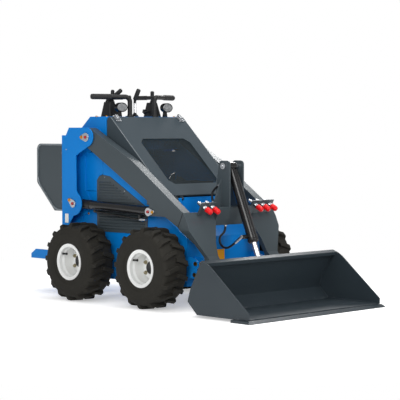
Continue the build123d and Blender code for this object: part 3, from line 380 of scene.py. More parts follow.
def hex_head(name, radius, height):
    """A hexagon screw head on its washer, made at the origin and facing +Z."""
    wide, thick = radius * 1.35, height * 0.26
    washer = turned(name + "_washer", [
        (0, 0), (0, wide), (height * 0.22, wide), (thick, radius * 1.25), (thick, 0)],
        ORIGIN, UP, steps=20)
    bpy.ops.object.select_all(action="DESELECT")
    bpy.ops.mesh.primitive_cylinder_add(vertices=6, radius=radius / 1000, depth=height / 1000,
                                        location=(0, 0, height / 2000))
    head = bpy.context.object
    edit_all()
    bpy.ops.mesh.bevel(offset=radius * 0.12 / 1000, segments=1, affect="EDGES")
    settle(head)
    return joined(name, [washer, head])


def set_at(master, place, direction):
    """A copy of a master piece, with its own mesh, standing at a place and facing a direction."""
    piece = copied(master.name + "_copy", master)
    turn = Vector(direction).to_track_quat("Z", "Y").to_matrix().to_4x4()
    piece.data.transform(Matrix.Translation(place) @ turn)
    return piece


def set_row(name, master, places):
    """Copies of a master at several places, joined in one piece."""
    return joined(name, [set_at(master, mm(*place), way) for place, way in places])


blue_paint = paint("blue_paint", colour(3, 120, 202), colour(5, 126, 210), 0.38, 0.06, gloss=0.16)
for node, width in (("pillars", 1.6), ("console", 2.5), ("front_cowl", 1.2), ("platform", 1.6)):
    carrier = "step" if node == "platform" else "chassis"
    fit(edges_eased(node, width), carrier, blue_paint)
for node in ("hull", "rear_panel", "side_panels", "step_brackets"):
    dress(node, blue_paint)


def plated(name, base, rough, grain=260.0):
    """Plated or polished metal: a bright tone with faint grain and smears."""
    finish = Finish(name)
    finish.bump(finish.noise(grain, detail=2.0), 0.06, 0.0003)
    dull = tuple(value * 0.72 for value in base[:3]) + (1.0,)
    return finish.set(Base_Color=finish.mix(finish.noise(24.0), base, dull), Metallic=1.0,
                      Roughness=rough + 0.14 * (finish.noise(60.0) - 0.5))


yellow_zinc = plated("yellow_zinc", colour(226, 160, 58), 0.34)
BODY_HALF, CONSOLE_TOP, COWL_FACE = 325, 1177, 365
RIGHT, LEFT, FORWARD = (0, -1, 0), (0, 1, 0), (1, 0, 0)
small_screw = hex_head("small_screw", 6.5, 6)
SLOPE_WAY = (-0.64, 0, 0.77)
blue_body_screws = [((-548, -BODY_HALF, 549), RIGHT), ((-548, BODY_HALF, 549), LEFT)]
for hand in (-1, 1):
    for x, z, way in (
            (-498, CONSOLE_TOP, UP), (-398, CONSOLE_TOP, UP),
            (-588, 1130.8, SLOPE_WAY), (-552, 1161, SLOPE_WAY)):
        blue_body_screws.append(((x, hand * 300, z), way))
    for z in (165, 400):
        blue_body_screws.append(((COWL_FACE, hand * 225, z), FORWARD))
fit(set_row("body_screws", small_screw, blue_body_screws), "chassis", yellow_zinc)

FOOT_PLATE = 5
pillar_feet = []
for hand in (-1, 1):
    y = hand * (BODY_HALF + 0.2)
    pillar_feet.append(plate("foot", [
        mm(-690, y, 430), mm(-600, y, 430), mm(-600, y, 560), mm(-690, y, 560)],
        mm(0, hand * FOOT_PLATE, 0)))
fit(joined("pillar_feet", pillar_feet), "chassis", blue_paint)
STRIP_FOOT, STRIP_HEIGHT = 664, 7.2
cowl_strips = []
for low, high in ((-318, -262), (-178, 178), (262, 318)):
    cowl_strips.append(plate("strip", [
        mm(180, low, STRIP_FOOT), mm(186, low, STRIP_FOOT), mm(186, high, STRIP_FOOT),
        mm(180, high, STRIP_FOOT)], mm(0, 0, STRIP_HEIGHT)))
fit(joined("cowl_strips", cowl_strips), "chassis", blue_paint)

# ------------------------------------------------------------ blank plates
# Two self-adhesive plates carry no print: a yellow one on the front panel
# and a small white one on the right pillar.
yellow_vinyl = rubber("yellow_vinyl", colour(222, 150, 20), 0.45, 700.0, peel=0.05)
white_vinyl = rubber("white_vinyl", colour(214, 214, 210), 0.5, 700.0, peel=0.05)
LABEL = 1.2
PILLAR_OUT = 412
x = COWL_FACE + 0.2
fit(plate("front_plate", [mm(x, -86, 262), mm(x, 2, 262), mm(x, 2, 350), mm(x, -86, 350)],
          mm(LABEL, 0, 0), 0.4), "chassis", yellow_vinyl)
y = -PILLAR_OUT - 0.1
fit(plate("pillar_plate", [mm(-683, y, 486), mm(-649, y, 486), mm(-649, y, 545), mm(-683, y, 545)],
          mm(0, -LABEL, 0), 0.4), "chassis", white_vinyl)

# -------------------------------------------------------------- operator's side
# The sloping rear of the console holds a black switch panel with an hour
# meter, a key switch and two rockers. Two screwed covers close the rear below.
slope_out = Vector((-73, 0, 87)).normalized()
slope_up = Vector((87, 0, 73)).normalized()
slope_middle = mm(-576.5, 0, 1140.5)


def on_slope(across, up, out=0.0):
    """A place on the console's sloping rear, in mm from its middle."""
    return slope_middle + slope_up * (up / 1000) + slope_out * (out / 1000) + mm(0, across, 0)


black_plastic = rubber("black_plastic", colour(20, 20, 21), 0.46, 900.0, peel=0.12)
gloss_black = rubber("gloss_black", colour(14, 14, 15), 0.22, 900.0, peel=0.04)
fit(plate("switch_panel", [
    on_slope(-150, -38), on_slope(150, -38), on_slope(150, 38), on_slope(-150, 38)],
    slope_out * 0.003, 1.0), "chassis", black_plastic)
METER_ACROSS, KEY_ACROSS, KEY_FACE = -95, 95, 93.5
fit(turned("hour_meter", [(0, 0), (0, 31), (6, 31), (9, 29), (9, 26), (7, 25), (7, 0)],
           on_slope(METER_ACROSS, 0, 3), slope_out), "chassis", gloss_black)
fit(turned("meter_face", [(0, 0), (0, 24), (1, 24), (1, 0)],
           on_slope(METER_ACROSS, 0, 10), slope_out), "chassis", white_vinyl)
bright_zinc = plated("bright_zinc", colour(205, 208, 212), 0.26)
fit(turned("key_switch", [(0, 0), (0, 17), (5, 17), (7, 14), (14, 13), (16, 11), (16, 0)],
           on_slope(KEY_ACROSS, 0, 3), slope_out), "chassis", bright_zinc)
fit(plate("ignition_key", [
    on_slope(KEY_FACE, -14, 19), on_slope(KEY_FACE, 14, 19), on_slope(KEY_FACE, 10, 42),
    on_slope(KEY_FACE, -10, 42)], mm(0, 3, 0), 0.8), "chassis", black_plastic)
rockers = []
for across in (-22, 30):
    rockers.append(plate("rocker", [
        on_slope(across - 12, -20, 3), on_slope(across + 12, -20, 3),
        on_slope(across + 12, 20, 3), on_slope(across - 12, 20, 3)], slope_out * 0.008, 2.0))
fit(joined("rocker_switches", rockers), "chassis", gloss_black)
REAR_FACE = -620.2
COVER_PLATE = 3
for name, half, low, high in (("rear_cover", 230, 728, 936), ("hull_cover", 250, 470, 676)):
    fit(plate(name, [
        mm(REAR_FACE, -half, low), mm(REAR_FACE, half, low), mm(REAR_FACE, half, high),
        mm(REAR_FACE, -half, high)], mm(-COVER_PLATE, 0, 0), 1.0),
        "chassis", blue_paint)
cover_screws = [((REAR_FACE - COVER_PLATE, hand * y, z), (-1, 0, 0)) for y, z in (
    (212, 745), (212, 919), (232, 488), (232, 658)) for hand in (-1, 1)]
fit(set_row("cover_screws", small_screw, cover_screws), "chassis", yellow_zinc)

# ---------------------------------------------------------------- thigh pad
# A firm foam pad in black vinyl is fixed to the rear panel at thigh height.
# Its outer face is crowned and its long edges are rolled.
PAD_ROUND, PAD_CROWN = 0.012, 0.007
PAD_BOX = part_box("thigh_pad")
pad_middle = (PAD_BOX[0] + PAD_BOX[1]) / 2
pad_size = PAD_BOX[1] - PAD_BOX[0]
bpy.ops.object.select_all(action="DESELECT")
bpy.ops.mesh.primitive_cube_add(size=1, location=pad_middle, scale=pad_size)
cushion = bpy.context.object
cushion.name = "thigh_cushion"
bpy.ops.object.transform_apply(location=True, rotation=True, scale=True)
edit_all()
bpy.ops.mesh.bevel(offset=PAD_ROUND, segments=3, affect="EDGES")
bpy.ops.object.mode_set(mode="OBJECT")
bpy.ops.object.modifier_add(type="SUBSURF")
cushion.modifiers[-1].levels = 3
cushion.modifiers[-1].render_levels = 3
cushion.modifiers[-1].subdivision_type = "SIMPLE"
bpy.ops.object.modifier_apply(modifier=cushion.modifiers[-1].name)
for corner in cushion.data.vertices:
    share_y = 2 * (corner.co.y - pad_middle.y) / pad_size.y
    share_z = 2 * (corner.co.z - pad_middle.z) / pad_size.z
    if corner.co.x < pad_middle.x:
        corner.co.x += PAD_CROWN * max(abs(share_y) ** 4, abs(share_z) ** 3)
settle(cushion, 60)
vinyl = rubber("pad_vinyl", colour(26, 26, 27), 0.5, 520.0, peel=0.35)
fit(cushion, "chassis", vinyl)
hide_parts("thigh_pad")

# ------------------------------------------------------------ hood and mesh
# The hood is one folded 4 mm sheet in dark grey powder coat, hinged at its
# foot, with a black perforated screen set behind its window and two bright
# over-centre latches at the top.
HOOD_TOP = mm(-334, 0, 1175)
hood_fall = Vector((520, 0, -489)).normalized()
hood_out = Vector((489, 0, 520)).normalized()


def on_hood(down, across, out=0.0):
    """A place on the hood's slope, in mm down it from its top edge."""
    return HOOD_TOP + hood_fall * (down / 1000) + hood_out * (out / 1000) + mm(0, across, 0)


hood_paint = paint("hood_paint", colour(60, 69, 75), colour(64, 73, 79), 0.62, 0.0, gloss=0.06)
fit(edges_eased("hood", 1.4), "hood_lid", hood_paint)
# Light grey strips laid along the hood's side folds are a painted highlight: their colour stands
# for the light that the folds catch.
FOLD_Y, FOLD_FROM, FOLD_TO, FOLD_SINK = 322.2, 2, 708, -1.8
fold_highlight_lines = []
for hand in (-1, 1):
    start = on_hood(FOLD_FROM, hand * FOLD_Y, FOLD_SINK)
    end = on_hood(FOLD_TO, hand * FOLD_Y, FOLD_SINK)
    span = (end - start).length * 1000
    fold_highlight_lines.append(turned("fold", [
        (0, 0), (0, 1.4), (2, 2.6), (span - 2, 2.6), (span, 1.4), (span, 0)],
        start, end - start, steps=12))
fold_highlight_paint = paint("fold_highlight_paint", colour(104, 111, 116), colour(112, 119, 124), 0.3, 0.2)
fit(joined("hood_fold_highlights", fold_highlight_lines), "hood_lid", fold_highlight_paint)

MESH_FROM, MESH_TO, MESH_HALF = 191, 629, 231
HOLE_PITCH = 9.0
HOLE_WALL = 1.5
SCREEN_SINK = -5.3
SCREEN_PLATE = 0.0015
cells_down = round((MESH_TO - MESH_FROM) / HOLE_PITCH)
cells_across = round(2 * MESH_HALF / HOLE_PITCH)
bpy.ops.object.select_all(action="DESELECT")
bpy.ops.mesh.primitive_grid_add(x_subdivisions=cells_down, y_subdivisions=cells_across, size=1)
screen = bpy.context.object
screen.name = "hood_screen"
screen.data.transform(Matrix((
    (hood_fall.x, 0, hood_out.x, 0), (0, 1, 0, 0), (hood_fall.z, 0, hood_out.z, 0), (0, 0, 0, 1),
)) @ Matrix.Diagonal(((MESH_TO - MESH_FROM) / 1000, 2 * MESH_HALF / 1000, 1, 1)))
screen.data.transform(Matrix.Translation(on_hood((MESH_FROM + MESH_TO) / 2, 0, SCREEN_SINK)))
edit_all()
bpy.ops.mesh.inset(thickness=HOLE_WALL / 1000, depth=0, use_individual=True, use_boundary=True)
bpy.ops.mesh.delete(type="FACE")
bpy.ops.object.mode_set(mode="OBJECT")
bpy.ops.object.modifier_add(type="SOLIDIFY")
screen.modifiers[-1].thickness = SCREEN_PLATE
screen.modifiers[-1].offset = 0
bpy.ops.object.modifier_apply(modifier=screen.modifiers[-1].name)
settle(screen)
screen_black = rubber("screen_black", colour(34, 42, 46), 0.65, 900.0, peel=0.05, gloss=0.08)
fit(screen, "hood_lid", screen_black)
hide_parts("hood_mesh")

dress("hood_latches", bright_zinc)
LATCH_Y = 281
latch_bits = []
rivet = turned("rivet", [(0, 0), (0, 4), (1.6, 3.2), (2.4, 0)], ORIGIN, UP, steps=12)
for hand in (-1, 1):
    y = hand * LATCH_Y
    latch_bits.append(plate("paddle", [
        on_hood(-4, y - 10, 12), on_hood(-4, y + 10, 12), on_hood(20, y + 13, 12),
        on_hood(28, y + 8, 12), on_hood(28, y - 8, 12), on_hood(20, y - 13, 12)],
        hood_out * 0.005, 1.2))
    latch_bits.append(turned("latch_rod", [(0, 0), (0, 3.4), (40, 3.4), (40, 0)],
                             on_hood(30, y - 20, 9), (0, 1, 0), steps=12))
    for down, across in ((-5, -17), (-5, 17), (41, -17), (41, 17)):
        latch_bits.append(set_at(rivet, on_hood(down, y + across, 5), hood_out))
fit(joined("latch_details", latch_bits), "hood_lid", bright_zinc)
latch_hooks = []
for hand in (-1, 1):
    y = hand * LATCH_Y
    latch_hooks.append(plate("hook", [
        on_hood(-14, y - 7, 6), on_hood(-14, y + 7, 6), on_hood(0, y + 7, 6), on_hood(0, y - 7, 6)],
        hood_out * 0.009, 1.5))
fit(joined("latch_hooks", latch_hooks), "hood_lid", gloss_black)

# ---------------------------------------------------- louvres and rear guards
# Pressed grey louvre panels are riveted over the vents in both sides of the
# hull, and dished side guards with a rolled bead are fixed behind the pillars.
# The bead's lighter grey is a painted highlight along the guards' rims.
grey_paint = paint("grey_paint", colour(61, 70, 75), colour(65, 74, 79), 0.36, 0.05)
dress("louvre_panels", grey_paint)
fit(edges_eased("guards", 1.6), "chassis", grey_paint)
BEAD_Y, BEAD_R, BEAD_BEND = 399, 0.0065, 0.038
bead_lines = []
for hand in (-1, 1):
    corners = [mm(x, hand * BEAD_Y, z) for x, z in (
        (-718, 994), (-978, 994), (-978, 745), (-799, 566), (-718, 566))]
    bead = draw("guard_bead", corners)
    bpy.ops.mesh.bevel(offset=BEAD_BEND, segments=6, affect="VERTICES")
    bpy.ops.object.mode_set(mode="OBJECT")
    bpy.ops.object.convert(target="CURVE")
    bead = bpy.context.object
    bead.data.bevel_depth = BEAD_R
    bead.data.bevel_resolution = 3
    bead.data.use_fill_caps = True
    bpy.ops.object.convert(target="MESH")
    bpy.ops.object.transform_apply(location=True, rotation=True, scale=True)
    bpy.ops.object.shade_smooth()
    bead_lines.append(bpy.context.object)
# The bead's light grey is a painted highlight, not the guards' own paint.
bead_highlight_paint = paint("bead_highlight_paint", colour(118, 126, 131), colour(126, 134, 139), 0.3, 0.2)
fit(joined("guard_beads", bead_lines), "chassis", bead_highlight_paint)
louvre_screws = []
for hand in (-1, 1):
    for x, z in ((-386, 789), (-196, 702), (-374, 452), (4, 470), (-452, 610), (-20, 600)):
        louvre_screws.append(((x, hand * 329, z), (0, hand, 0)))
fit(set_row("louvre_screws", rivet, louvre_screws), "chassis", bright_zinc)
guard_screws = [((-734, hand * 397, z), (0, hand, 0))
                for hand in (-1, 1) for z in (620, 780, 940)]
guard_screws += [((-670, hand * PILLAR_OUT, 964), (0, hand, 0)) for hand in (-1, 1)]
fit(set_row("guard_screws", rivet, guard_screws), "chassis", bright_zinc)

# -------------------------------------------------------- boom, legs and pins
# Arms and legs are welded box sections in the hood's grey. Each pivot pin has
# a bright teardrop head with a red grease cap, locked by one yellow screw.
for node, width in (("arm_right", 2.2), ("arm_left", 2.2), ("boom_bridge", 1.2)):
    fit(edges_eased(node, width, angle=14), "boom", grey_paint)
for node in ("boom_pins", "couplers", "hose_nuts"):
    dress(node, bright_zinc)
dress("front_pins", yellow_zinc)

ARM_OUT = 401
# A thin dark strip across each arm's outer face, where it meets the leg, is painted shade standing
# for the groove of that seam.
seam_shade = paint("seam_shade", colour(34, 38, 41), colour(38, 42, 45), 0.6, 0.0)
seams = []
for hand in (-1, 1):
    y = hand * (ARM_OUT + 0.2)
    seams.append(plate("seam", [
        mm(404, y, 590), mm(408.5, y, 588), mm(366, y, 498), mm(361.5, y, 500)],
        mm(0, hand * 0.7, 0)))
fit(joined("arm_seams", seams), "boom", seam_shade)


# pivots: x and z
BOOM_PIVOT = (-470, 1044)
LIFT_PIVOT = (106, 586)
TILT_PIVOT = (423, 868)
PIN_REACH = 40.0
PIN_TAIL_R = 12.5
PIN_HEAD = 9.6
PIN_FROM = 333
ARC_STEPS = 12


def teardrop(centre, y, radius, way, hand):
    """A pin's head plate: a round boss that narrows towards its locking screw."""
    lean = acos((radius - PIN_TAIL_R) / PIN_REACH)
    outline = []
    for start, end, size, offset in (
            (lean, 2 * pi - lean, radius, 0.0), (-lean, lean, PIN_TAIL_R, PIN_REACH)):
        for step in range(ARC_STEPS + 1):
            turn = start + (end - start) * step / ARC_STEPS
            along, across = offset + size * cos(turn), size * sin(turn)
            outline.append(mm(centre[0] + way.x * along - way.z * across, y,
                              centre[1] + way.z * along + way.x * across))
    return plate("pin_head", outline, mm(0, hand * PIN_HEAD, 0), 2.2, 3)


pin_red = rubber("pin_red", colour(150, 20, 22), 0.35, 900.0, peel=0.03)
flag_screw = hex_head("flag_screw", 8.5, 7)
# body, centre x and z, outer face y, boss radius, way of the tail in degrees
PINS = (
    ("chassis", BOOM_PIVOT, PILLAR_OUT, 28.6, 180),
    ("chassis", (-599, 613), PILLAR_OUT, 25.6, 145),
    ("boom", LIFT_PIVOT, ARM_OUT, 26.6, 0),
)
for body in ("chassis", "boom"):
    heads, grease_caps, screws = [], [], []
    for carrier, centre, y, radius, towards in PINS:
        if carrier == body:
            way = Vector((cos(radians(towards)), 0, sin(radians(towards))))
            for hand in (-1, 1):
                heads.append(teardrop(centre, hand * y, radius, way, hand))
                face = mm(centre[0], hand * (y + PIN_HEAD - 0.1), centre[1])
                grease_caps.append(turned("grease_cap", [
                    (0, 0), (0, 9.8), (4, 9.8), (6.5, 7.5), (7.2, 0)], face, (0, hand, 0)))
                screws.append(set_at(flag_screw, face + way * PIN_REACH / 1000, (0, hand, 0)))
    if body == "chassis":
        for hand in (-1, 1):
            heads.append(turned("pin", [
                (PIN_FROM, 0), (PIN_FROM, 19), (PIN_FROM + 1, 20), (PILLAR_OUT, 20),
                (PILLAR_OUT, 0)],
                mm(BOOM_PIVOT[0], 0, BOOM_PIVOT[1]), (0, hand, 0), steps=36))
    pin_heads = fit(joined(body + "_pin_heads", heads), body, bright_zinc)
    if body == "chassis":
        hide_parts("pillar_pins")
    fit(joined(body + "_grease_caps", grease_caps), body, pin_red)
    fit(joined(body + "_pin_screws", screws), body, yellow_zinc)
tower_screws = [((TILT_PIVOT[0], hand * 74, TILT_PIVOT[1]), (0, hand, 0)) for hand in (-1, 1)]
fit(set_row("tower_screws", flag_screw, tower_screws), "boom", bright_zinc)

# ------------------------------------------------------------ quick couplers
# Flat-face quick couplers pass through two bulkhead plates. Each has a zinc
# lock nut, a knurled sleeve and a red rubber dust cap on a strap ring.
COUPLER_YS = (-258, -193, 195, 260, 325)
COUPLER_X, COUPLER_Z = 408, 641
LOCK_NUT_R, LOCK_NUT_DEPTH, LOCK_NUT_ALONG = 0.017, 0.011, 0.0302
COUPLER_LEAN = radians(27)
coupler_way = Vector((cos(COUPLER_LEAN), 0, -sin(COUPLER_LEAN)))
cap_red = rubber("cap_red", colour(206, 14, 20), 0.3, 900.0, peel=0.05)
sleeve = [(46, 0), (46, 13), (47, 13.2), (48, 15.4)]
for ring in range(5):
    sleeve += [(50 + 3.2 * ring, 16.0), (51.8 + 3.2 * ring, 15.2)]
sleeve += [(67, 15.4), (68, 13.2), (70, 13), (70, 0)]
adapter = [
    (-16, 0), (-16, 9), (-4, 9), (-3, 12.6), (8, 12.6), (9, 10.8), (11, 10.8), (12, 14), (22, 14),
    (23, 12), (23, 0)]
cap = [(75, 0), (75, 16.8), (77, 17.6), (81, 17.6), (82, 16.6)]
for ring in range(4):
    cap += [(84 + 5 * ring, 17.2), (86.5 + 5 * ring, 17.2), (87.5 + 5 * ring, 16.6)]
cap += [(106, 17), (111, 14.6), (114.6, 9), (115.5, 0)]
strap = [(71.5 + 2 * sin(part * pi / 4), 16.5 + 2.2 * cos(part * pi / 4)) for part in range(9)]
bpy.ops.object.select_all(action="DESELECT")
bpy.ops.mesh.primitive_cylinder_add(vertices=6, radius=LOCK_NUT_R, depth=LOCK_NUT_DEPTH,
                                    location=ORIGIN)
lock_nut = bpy.context.object
edit_all()
bpy.ops.mesh.bevel(offset=0.0012, segments=1, affect="EDGES")
settle(lock_nut)
lock_nut.name = "lock_nut"
sleeves, dust_caps, straps = [], [], []
for y in COUPLER_YS:
    rear = mm(COUPLER_X, y, COUPLER_Z)
    sleeves.append(turned("sleeve", sleeve, rear, coupler_way, steps=24))
    sleeves.append(turned("adapter", adapter, rear, coupler_way, steps=24))
    sleeves.append(set_at(lock_nut, rear + coupler_way * LOCK_NUT_ALONG, coupler_way))
    dust_caps.append(turned("cap", cap, rear, coupler_way, steps=28))
    straps.append(turned("strap", strap, rear, coupler_way, steps=28))
fit(joined("coupler_sleeves", sleeves), "boom", bright_zinc)
caps_piece = fit(joined("dust_caps", dust_caps), "boom", cap_red)
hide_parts("coupler_caps")
fit(joined("cap_straps", straps), "boom", cap_red)

# -------------------------------------------------------- hydraulic cylinders
# Barrels are drawn steel tube in gloss black with a wiper gland at the rod
# end; the rods are hard chromed. A bright fitting feeds each lift barrel.
gloss_enamel = paint("gloss_enamel", colour(20, 20, 21), colour(25, 25, 26), 0.24, 0.25, peel=0.0)
dark_enamel = paint("dark_enamel", colour(20, 20, 21), colour(25, 25, 26), 0.42, 0.05, peel=0.02)
chrome = plated("chrome", (0.86, 0.87, 0.89, 1), 0.1, grain=900.0)
for node in ("lift_barrel_right", "lift_barrel_left", "tilt_barrel"):
    dress(node, gloss_enamel)
dress("axle_housings", dark_enamel)
for node in ("lift_rod_right", "lift_rod_left", "tilt_rod"):
    dress(node, chrome)
ARM_MIDDLE = 369
lift_way = Vector((-705, 0, 27)).normalized()
tilt_way = Vector((243, 0, -581)).normalized()
lift_gland = [
    (568, 16.6), (568, 30.4), (570, 31), (600, 31), (601, 30.2), (648, 30.2), (649, 31),
    (660, 31), (663, 29), (664, 24), (664, 16.6), (568, 16.6)]
lift_collar = [(30, 20), (30, 30.6), (31, 31), (44, 31), (46, 30.2), (46, 20), (30, 20)]
for hand, word in ((-1, "right"), (1, "left")):
    hinge = mm(LIFT_PIVOT[0], hand * ARM_MIDDLE, LIFT_PIVOT[1])
    rings = [turned("gland", lift_gland, hinge, lift_way, steps=40),
             turned("collar", lift_collar, hinge, lift_way, steps=40)]
    fit(joined("lift_glands_" + word, rings), "lift_cylinder_" + word, dark_enamel)
    fit(turned("lift_fitting_" + word, [
        (0, 0), (0, 8), (3, 9), (15, 9), (16, 7.6), (20, 7.6), (21, 11), (34, 11), (35, 8.4),
        (58, 8.4), (60, 6), (60, 0)], mm(-16, hand * ARM_MIDDLE, 532), (1, 0, 0.02), steps=24),
        "lift_cylinder_" + word, bright_zinc)
tilt_gland = [
    (478, 17.6), (478, 33.2), (480, 34), (492, 34), (494, 33), (498, 30), (503, 29), (505, 22),
    (505, 17.6), (478, 17.6)]
fit(turned("tilt_gland", tilt_gland, mm(TILT_PIVOT[0], 0, TILT_PIVOT[1]), tilt_way, steps=40),
    "tilt_cylinder", dark_enamel)

# ------------------------------------------------------------------- wheels
# Each wheel is a lugged skid-steer tyre on a white one-piece steel rim, held
# to a black hub by five plated nuts, with a rubber valve in the rim.
# which axle, and its x
WHEELS = (("front", 198.0), ("rear", -472.0))
WHEEL_Y, AXLE_Z = 470, 250
carcass_profile = [
    (80, 101.6), (84, 108), (88, 118), (90, 120), (93, 124), (94, 128), (96, 140), (97.2, 143),
    (98.4, 141.5), (99.6, 158), (100, 170), (99.4, 186), (98.2, 190), (99.4, 193), (97, 206),
    (93, 216), (86, 224), (70, 227.5), (35, 229.5), (0, 230),
]
carcass_profile += [(-far, radius) for far, radius in reversed(carcass_profile[:-1])]
carcass_profile.append(carcass_profile[0])
tyre = turned("tyre", carcass_profile, ORIGIN, (0, 1, 0), steps=96, smooth=50)

LUGS = 32
LUG_FOOT, LUG_RISE = 212, 36
lug_edge = [(-8, 31), (22, 27), (60, 14), (99, -3), (99, -33), (60, -19), (22, -4), (-8, 4)]
lug = draw("lug", [mm(LUG_FOOT, y, z) for y, z in lug_edge + lug_edge[:1]])
bpy.ops.mesh.remove_doubles(threshold=SAME_POINT)
bpy.ops.mesh.edge_face_add()
bpy.ops.mesh.extrude_region_move(TRANSFORM_OT_translate={"value": mm(LUG_RISE, 0, 0)})
bpy.ops.transform.resize(value=(1, 0.96, 0.86), center_override=mm(LUG_FOOT + LUG_RISE, 46, 2))
bpy.ops.mesh.select_all(action="SELECT")
bpy.ops.mesh.normals_make_consistent(inside=False)
for place, away in ((mm(246, 84, 0), (0.32, 0.95, 0)), (mm(249, 76, 0), (0.75, 0.66, 0))):
    bpy.ops.mesh.select_all(action="SELECT")
    bpy.ops.mesh.bisect(plane_co=place, plane_no=away, use_fill=True, clear_outer=True)
settle(lug)
ease_edges(lug, 2.6)
lugs = []
for turn in range(LUGS):
    copy = copied("lug_copy", lug)
    if turn % 2:
        copy.data.transform(Matrix.Scale(-1, 4, (0, 1, 0)))
        copy.data.flip_normals()
    copy.data.transform(Matrix.Rotation(2 * pi * turn / LUGS, 4, "Y"))
    lugs.append(copy)
bpy.data.objects.remove(lug)
tyre = joined("tyre", [tyre] + lugs)

tyre_finish = Finish("tyre_rubber")
tyre_dust = tyre_finish.noise(7.0, detail=5.0, roughness=0.6)
tyre_finish.bump(tyre_finish.noise(260.0, detail=3.0), 0.25, 0.0006)
tyre_rubber = tyre_finish.set(
    Base_Color=tyre_finish.mix(tyre_dust, colour(31, 30, 27), colour(44, 42, 37)),
    Specular_IOR_Level=0.22, Roughness=0.78 + 0.12 * (tyre_finish.noise(30.0) - 0.5))
rim_white = paint("rim_white", colour(232, 233, 231), colour(238, 239, 238), 0.34, 0.2)
hub_black = paint("hub_black", colour(28, 28, 30), colour(36, 36, 38), 0.4, 0.2)
nut_plating = plated("nut_plating", colour(176, 168, 140), 0.4)
wheel_nut = hex_head("wheel_nut", 9.5, 13)
NUTS, NUT_CIRCLE_R = 5, 54
stud = [(11, 0), (11, 5), (17, 4.6), (18, 3.6), (18, 0)]
valve = [
    (0, 0), (0, 8), (6, 7.2), (10, 5.4), (26, 5.4), (27, 6.2), (34, 6.2), (35.5, 4), (35.5, 0)]
hub_cap = [(2, 0), (2, 34), (5.6, 34), (6.4, 33), (6.4, 20), (5.8, 19), (5.8, 0)]
for end, x in WHEELS:
    for hand, word in ((-1, "right"), (1, "left")):
        tag = f"{end}_{word}"
        body = "wheel_" + tag
        outward = (0, hand, 0)
        middle = mm(x, hand * WHEEL_Y, AXLE_Z)
        fitted = copied("lugged_tyre_" + tag, tyre)
        if hand < 0:
            fitted.data.transform(Matrix.Scale(-1, 4, (0, 1, 0)))
            fitted.data.flip_normals()
        fitted.data.transform(Matrix.Translation(middle))
        fit(fitted, body, tyre_rubber)
        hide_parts("tyre_" + tag)
        dress("rim_" + tag, rim_white)
        dress("hub_" + tag, hub_black)
        nuts = []
        for turn in range(NUTS):
            a = 2 * pi * turn / NUTS
            place = middle + mm(NUT_CIRCLE_R * cos(a), 0, NUT_CIRCLE_R * sin(a))
            nuts.append(set_at(wheel_nut, place, outward))
            nuts.append(turned("stud", stud, place, outward, steps=14))
        fit(joined("wheel_nuts_" + tag, nuts), body, nut_plating)
        fit(turned("valve_" + tag, valve, middle + mm(-69, hand * 46, 45), (-0.14, hand, 0.08),
                   steps=18), body, black_plastic)
        fit(turned("hub_cap_" + tag, hub_cap, middle, outward, steps=36),
            body, hub_black)
bpy.data.objects.remove(tyre)

# ------------------------------------------------------------------- bucket
# The bucket is folded 7 mm plate with end plates and a lip, welded and
# painted slate grey, on a wear-plate edge; lower edges are scuffed bright.
bucket_finish = Finish("bucket_paint")
bucket_finish.bump(bucket_finish.noise(300.0, detail=2.0), 0.06, 0.0004)
bucket_tone = bucket_finish.mix(bucket_finish.noise(2.5), colour(42, 51, 57), colour(46, 55, 61))
scuffs = (bucket_finish.noise(24.0, detail=8.0, roughness=0.7) - 0.56) * 6.0
SCUFF_TOP = 0.05
low_down = ((SCUFF_TOP - bucket_finish.along(2)) / SCUFF_TOP).clamped()
bucket_wear = (scuffs.clamped() * low_down * 0.8).clamped()
bucket_paint = bucket_finish.set(
    Base_Color=bucket_finish.mix(bucket_wear, bucket_tone, colour(120, 124, 128)),
    Roughness=0.42 + 0.14 * (bucket_finish.noise(9.0) - 0.5), Metallic=bucket_wear * 0.6,
    Specular_IOR_Level=0.3, Coat_Weight=0.05, Coat_Roughness=0.2)
for node, width in (("bucket", 1.6), ("cutting_edge", 1.0), ("attach_plate", 0.4)):
    fit(edges_eased(node, width, angle=15), "tool", bucket_paint)
WELD_Y, RIPPLES = 582, 8
corner_line = [(756, 326), (668, 162), (648, 92), (722, 25), (1118, 24)]
welds = []
for hand in (-1, 1):
    for start, end in zip(corner_line, corner_line[1:]):
        first = mm(start[0], hand * WELD_Y, start[1])
        last = mm(end[0], hand * WELD_Y, end[1])
        span = (last - first).length * 1000
        bead = [(0, 0), (0, 3.5)]
        bead += [(span * step / RIPPLES, 4 + step % 2) for step in range(1, RIPPLES)]
        bead += [(span, 3.5), (span, 0)]
        welds.append(turned("weld", bead, first, last - first, steps=8))
fit(joined("bucket_welds", welds), "tool", bucket_paint)

# --------------------------------------------------------------------- step
# The step folds up behind the machine. Its floor has pressed anti-slip
# buttons, and its hinge pins are held by plated heads.
ROWS, COLUMNS = 9, 11
ROW_PITCH, COLUMN_PITCH = 46, 52
buttons = []
button = turned("button", [(0, 0), (0, 11), (1.4, 9.5), (2.6, 6.5), (2.2, 4), (0, 3.6)],
                ORIGIN, UP, steps=12)
for row in range(ROWS):
    shift = COLUMN_PITCH // 2 * (row % 2)
    for column in range(COLUMNS - row % 2):
        place = (-1118 + ROW_PITCH * row, -260 + COLUMN_PITCH * column + shift, 228)
        buttons.append((place, UP))
fit(set_row("step_buttons", button, buttons), "step", blue_paint)
hinge_heads = [((-700, hand * 322, 240), (0, hand, 0)) for hand in (-1, 1)]
fit(set_row("step_hinge_heads", flag_screw, hinge_heads), "chassis", bright_zinc)

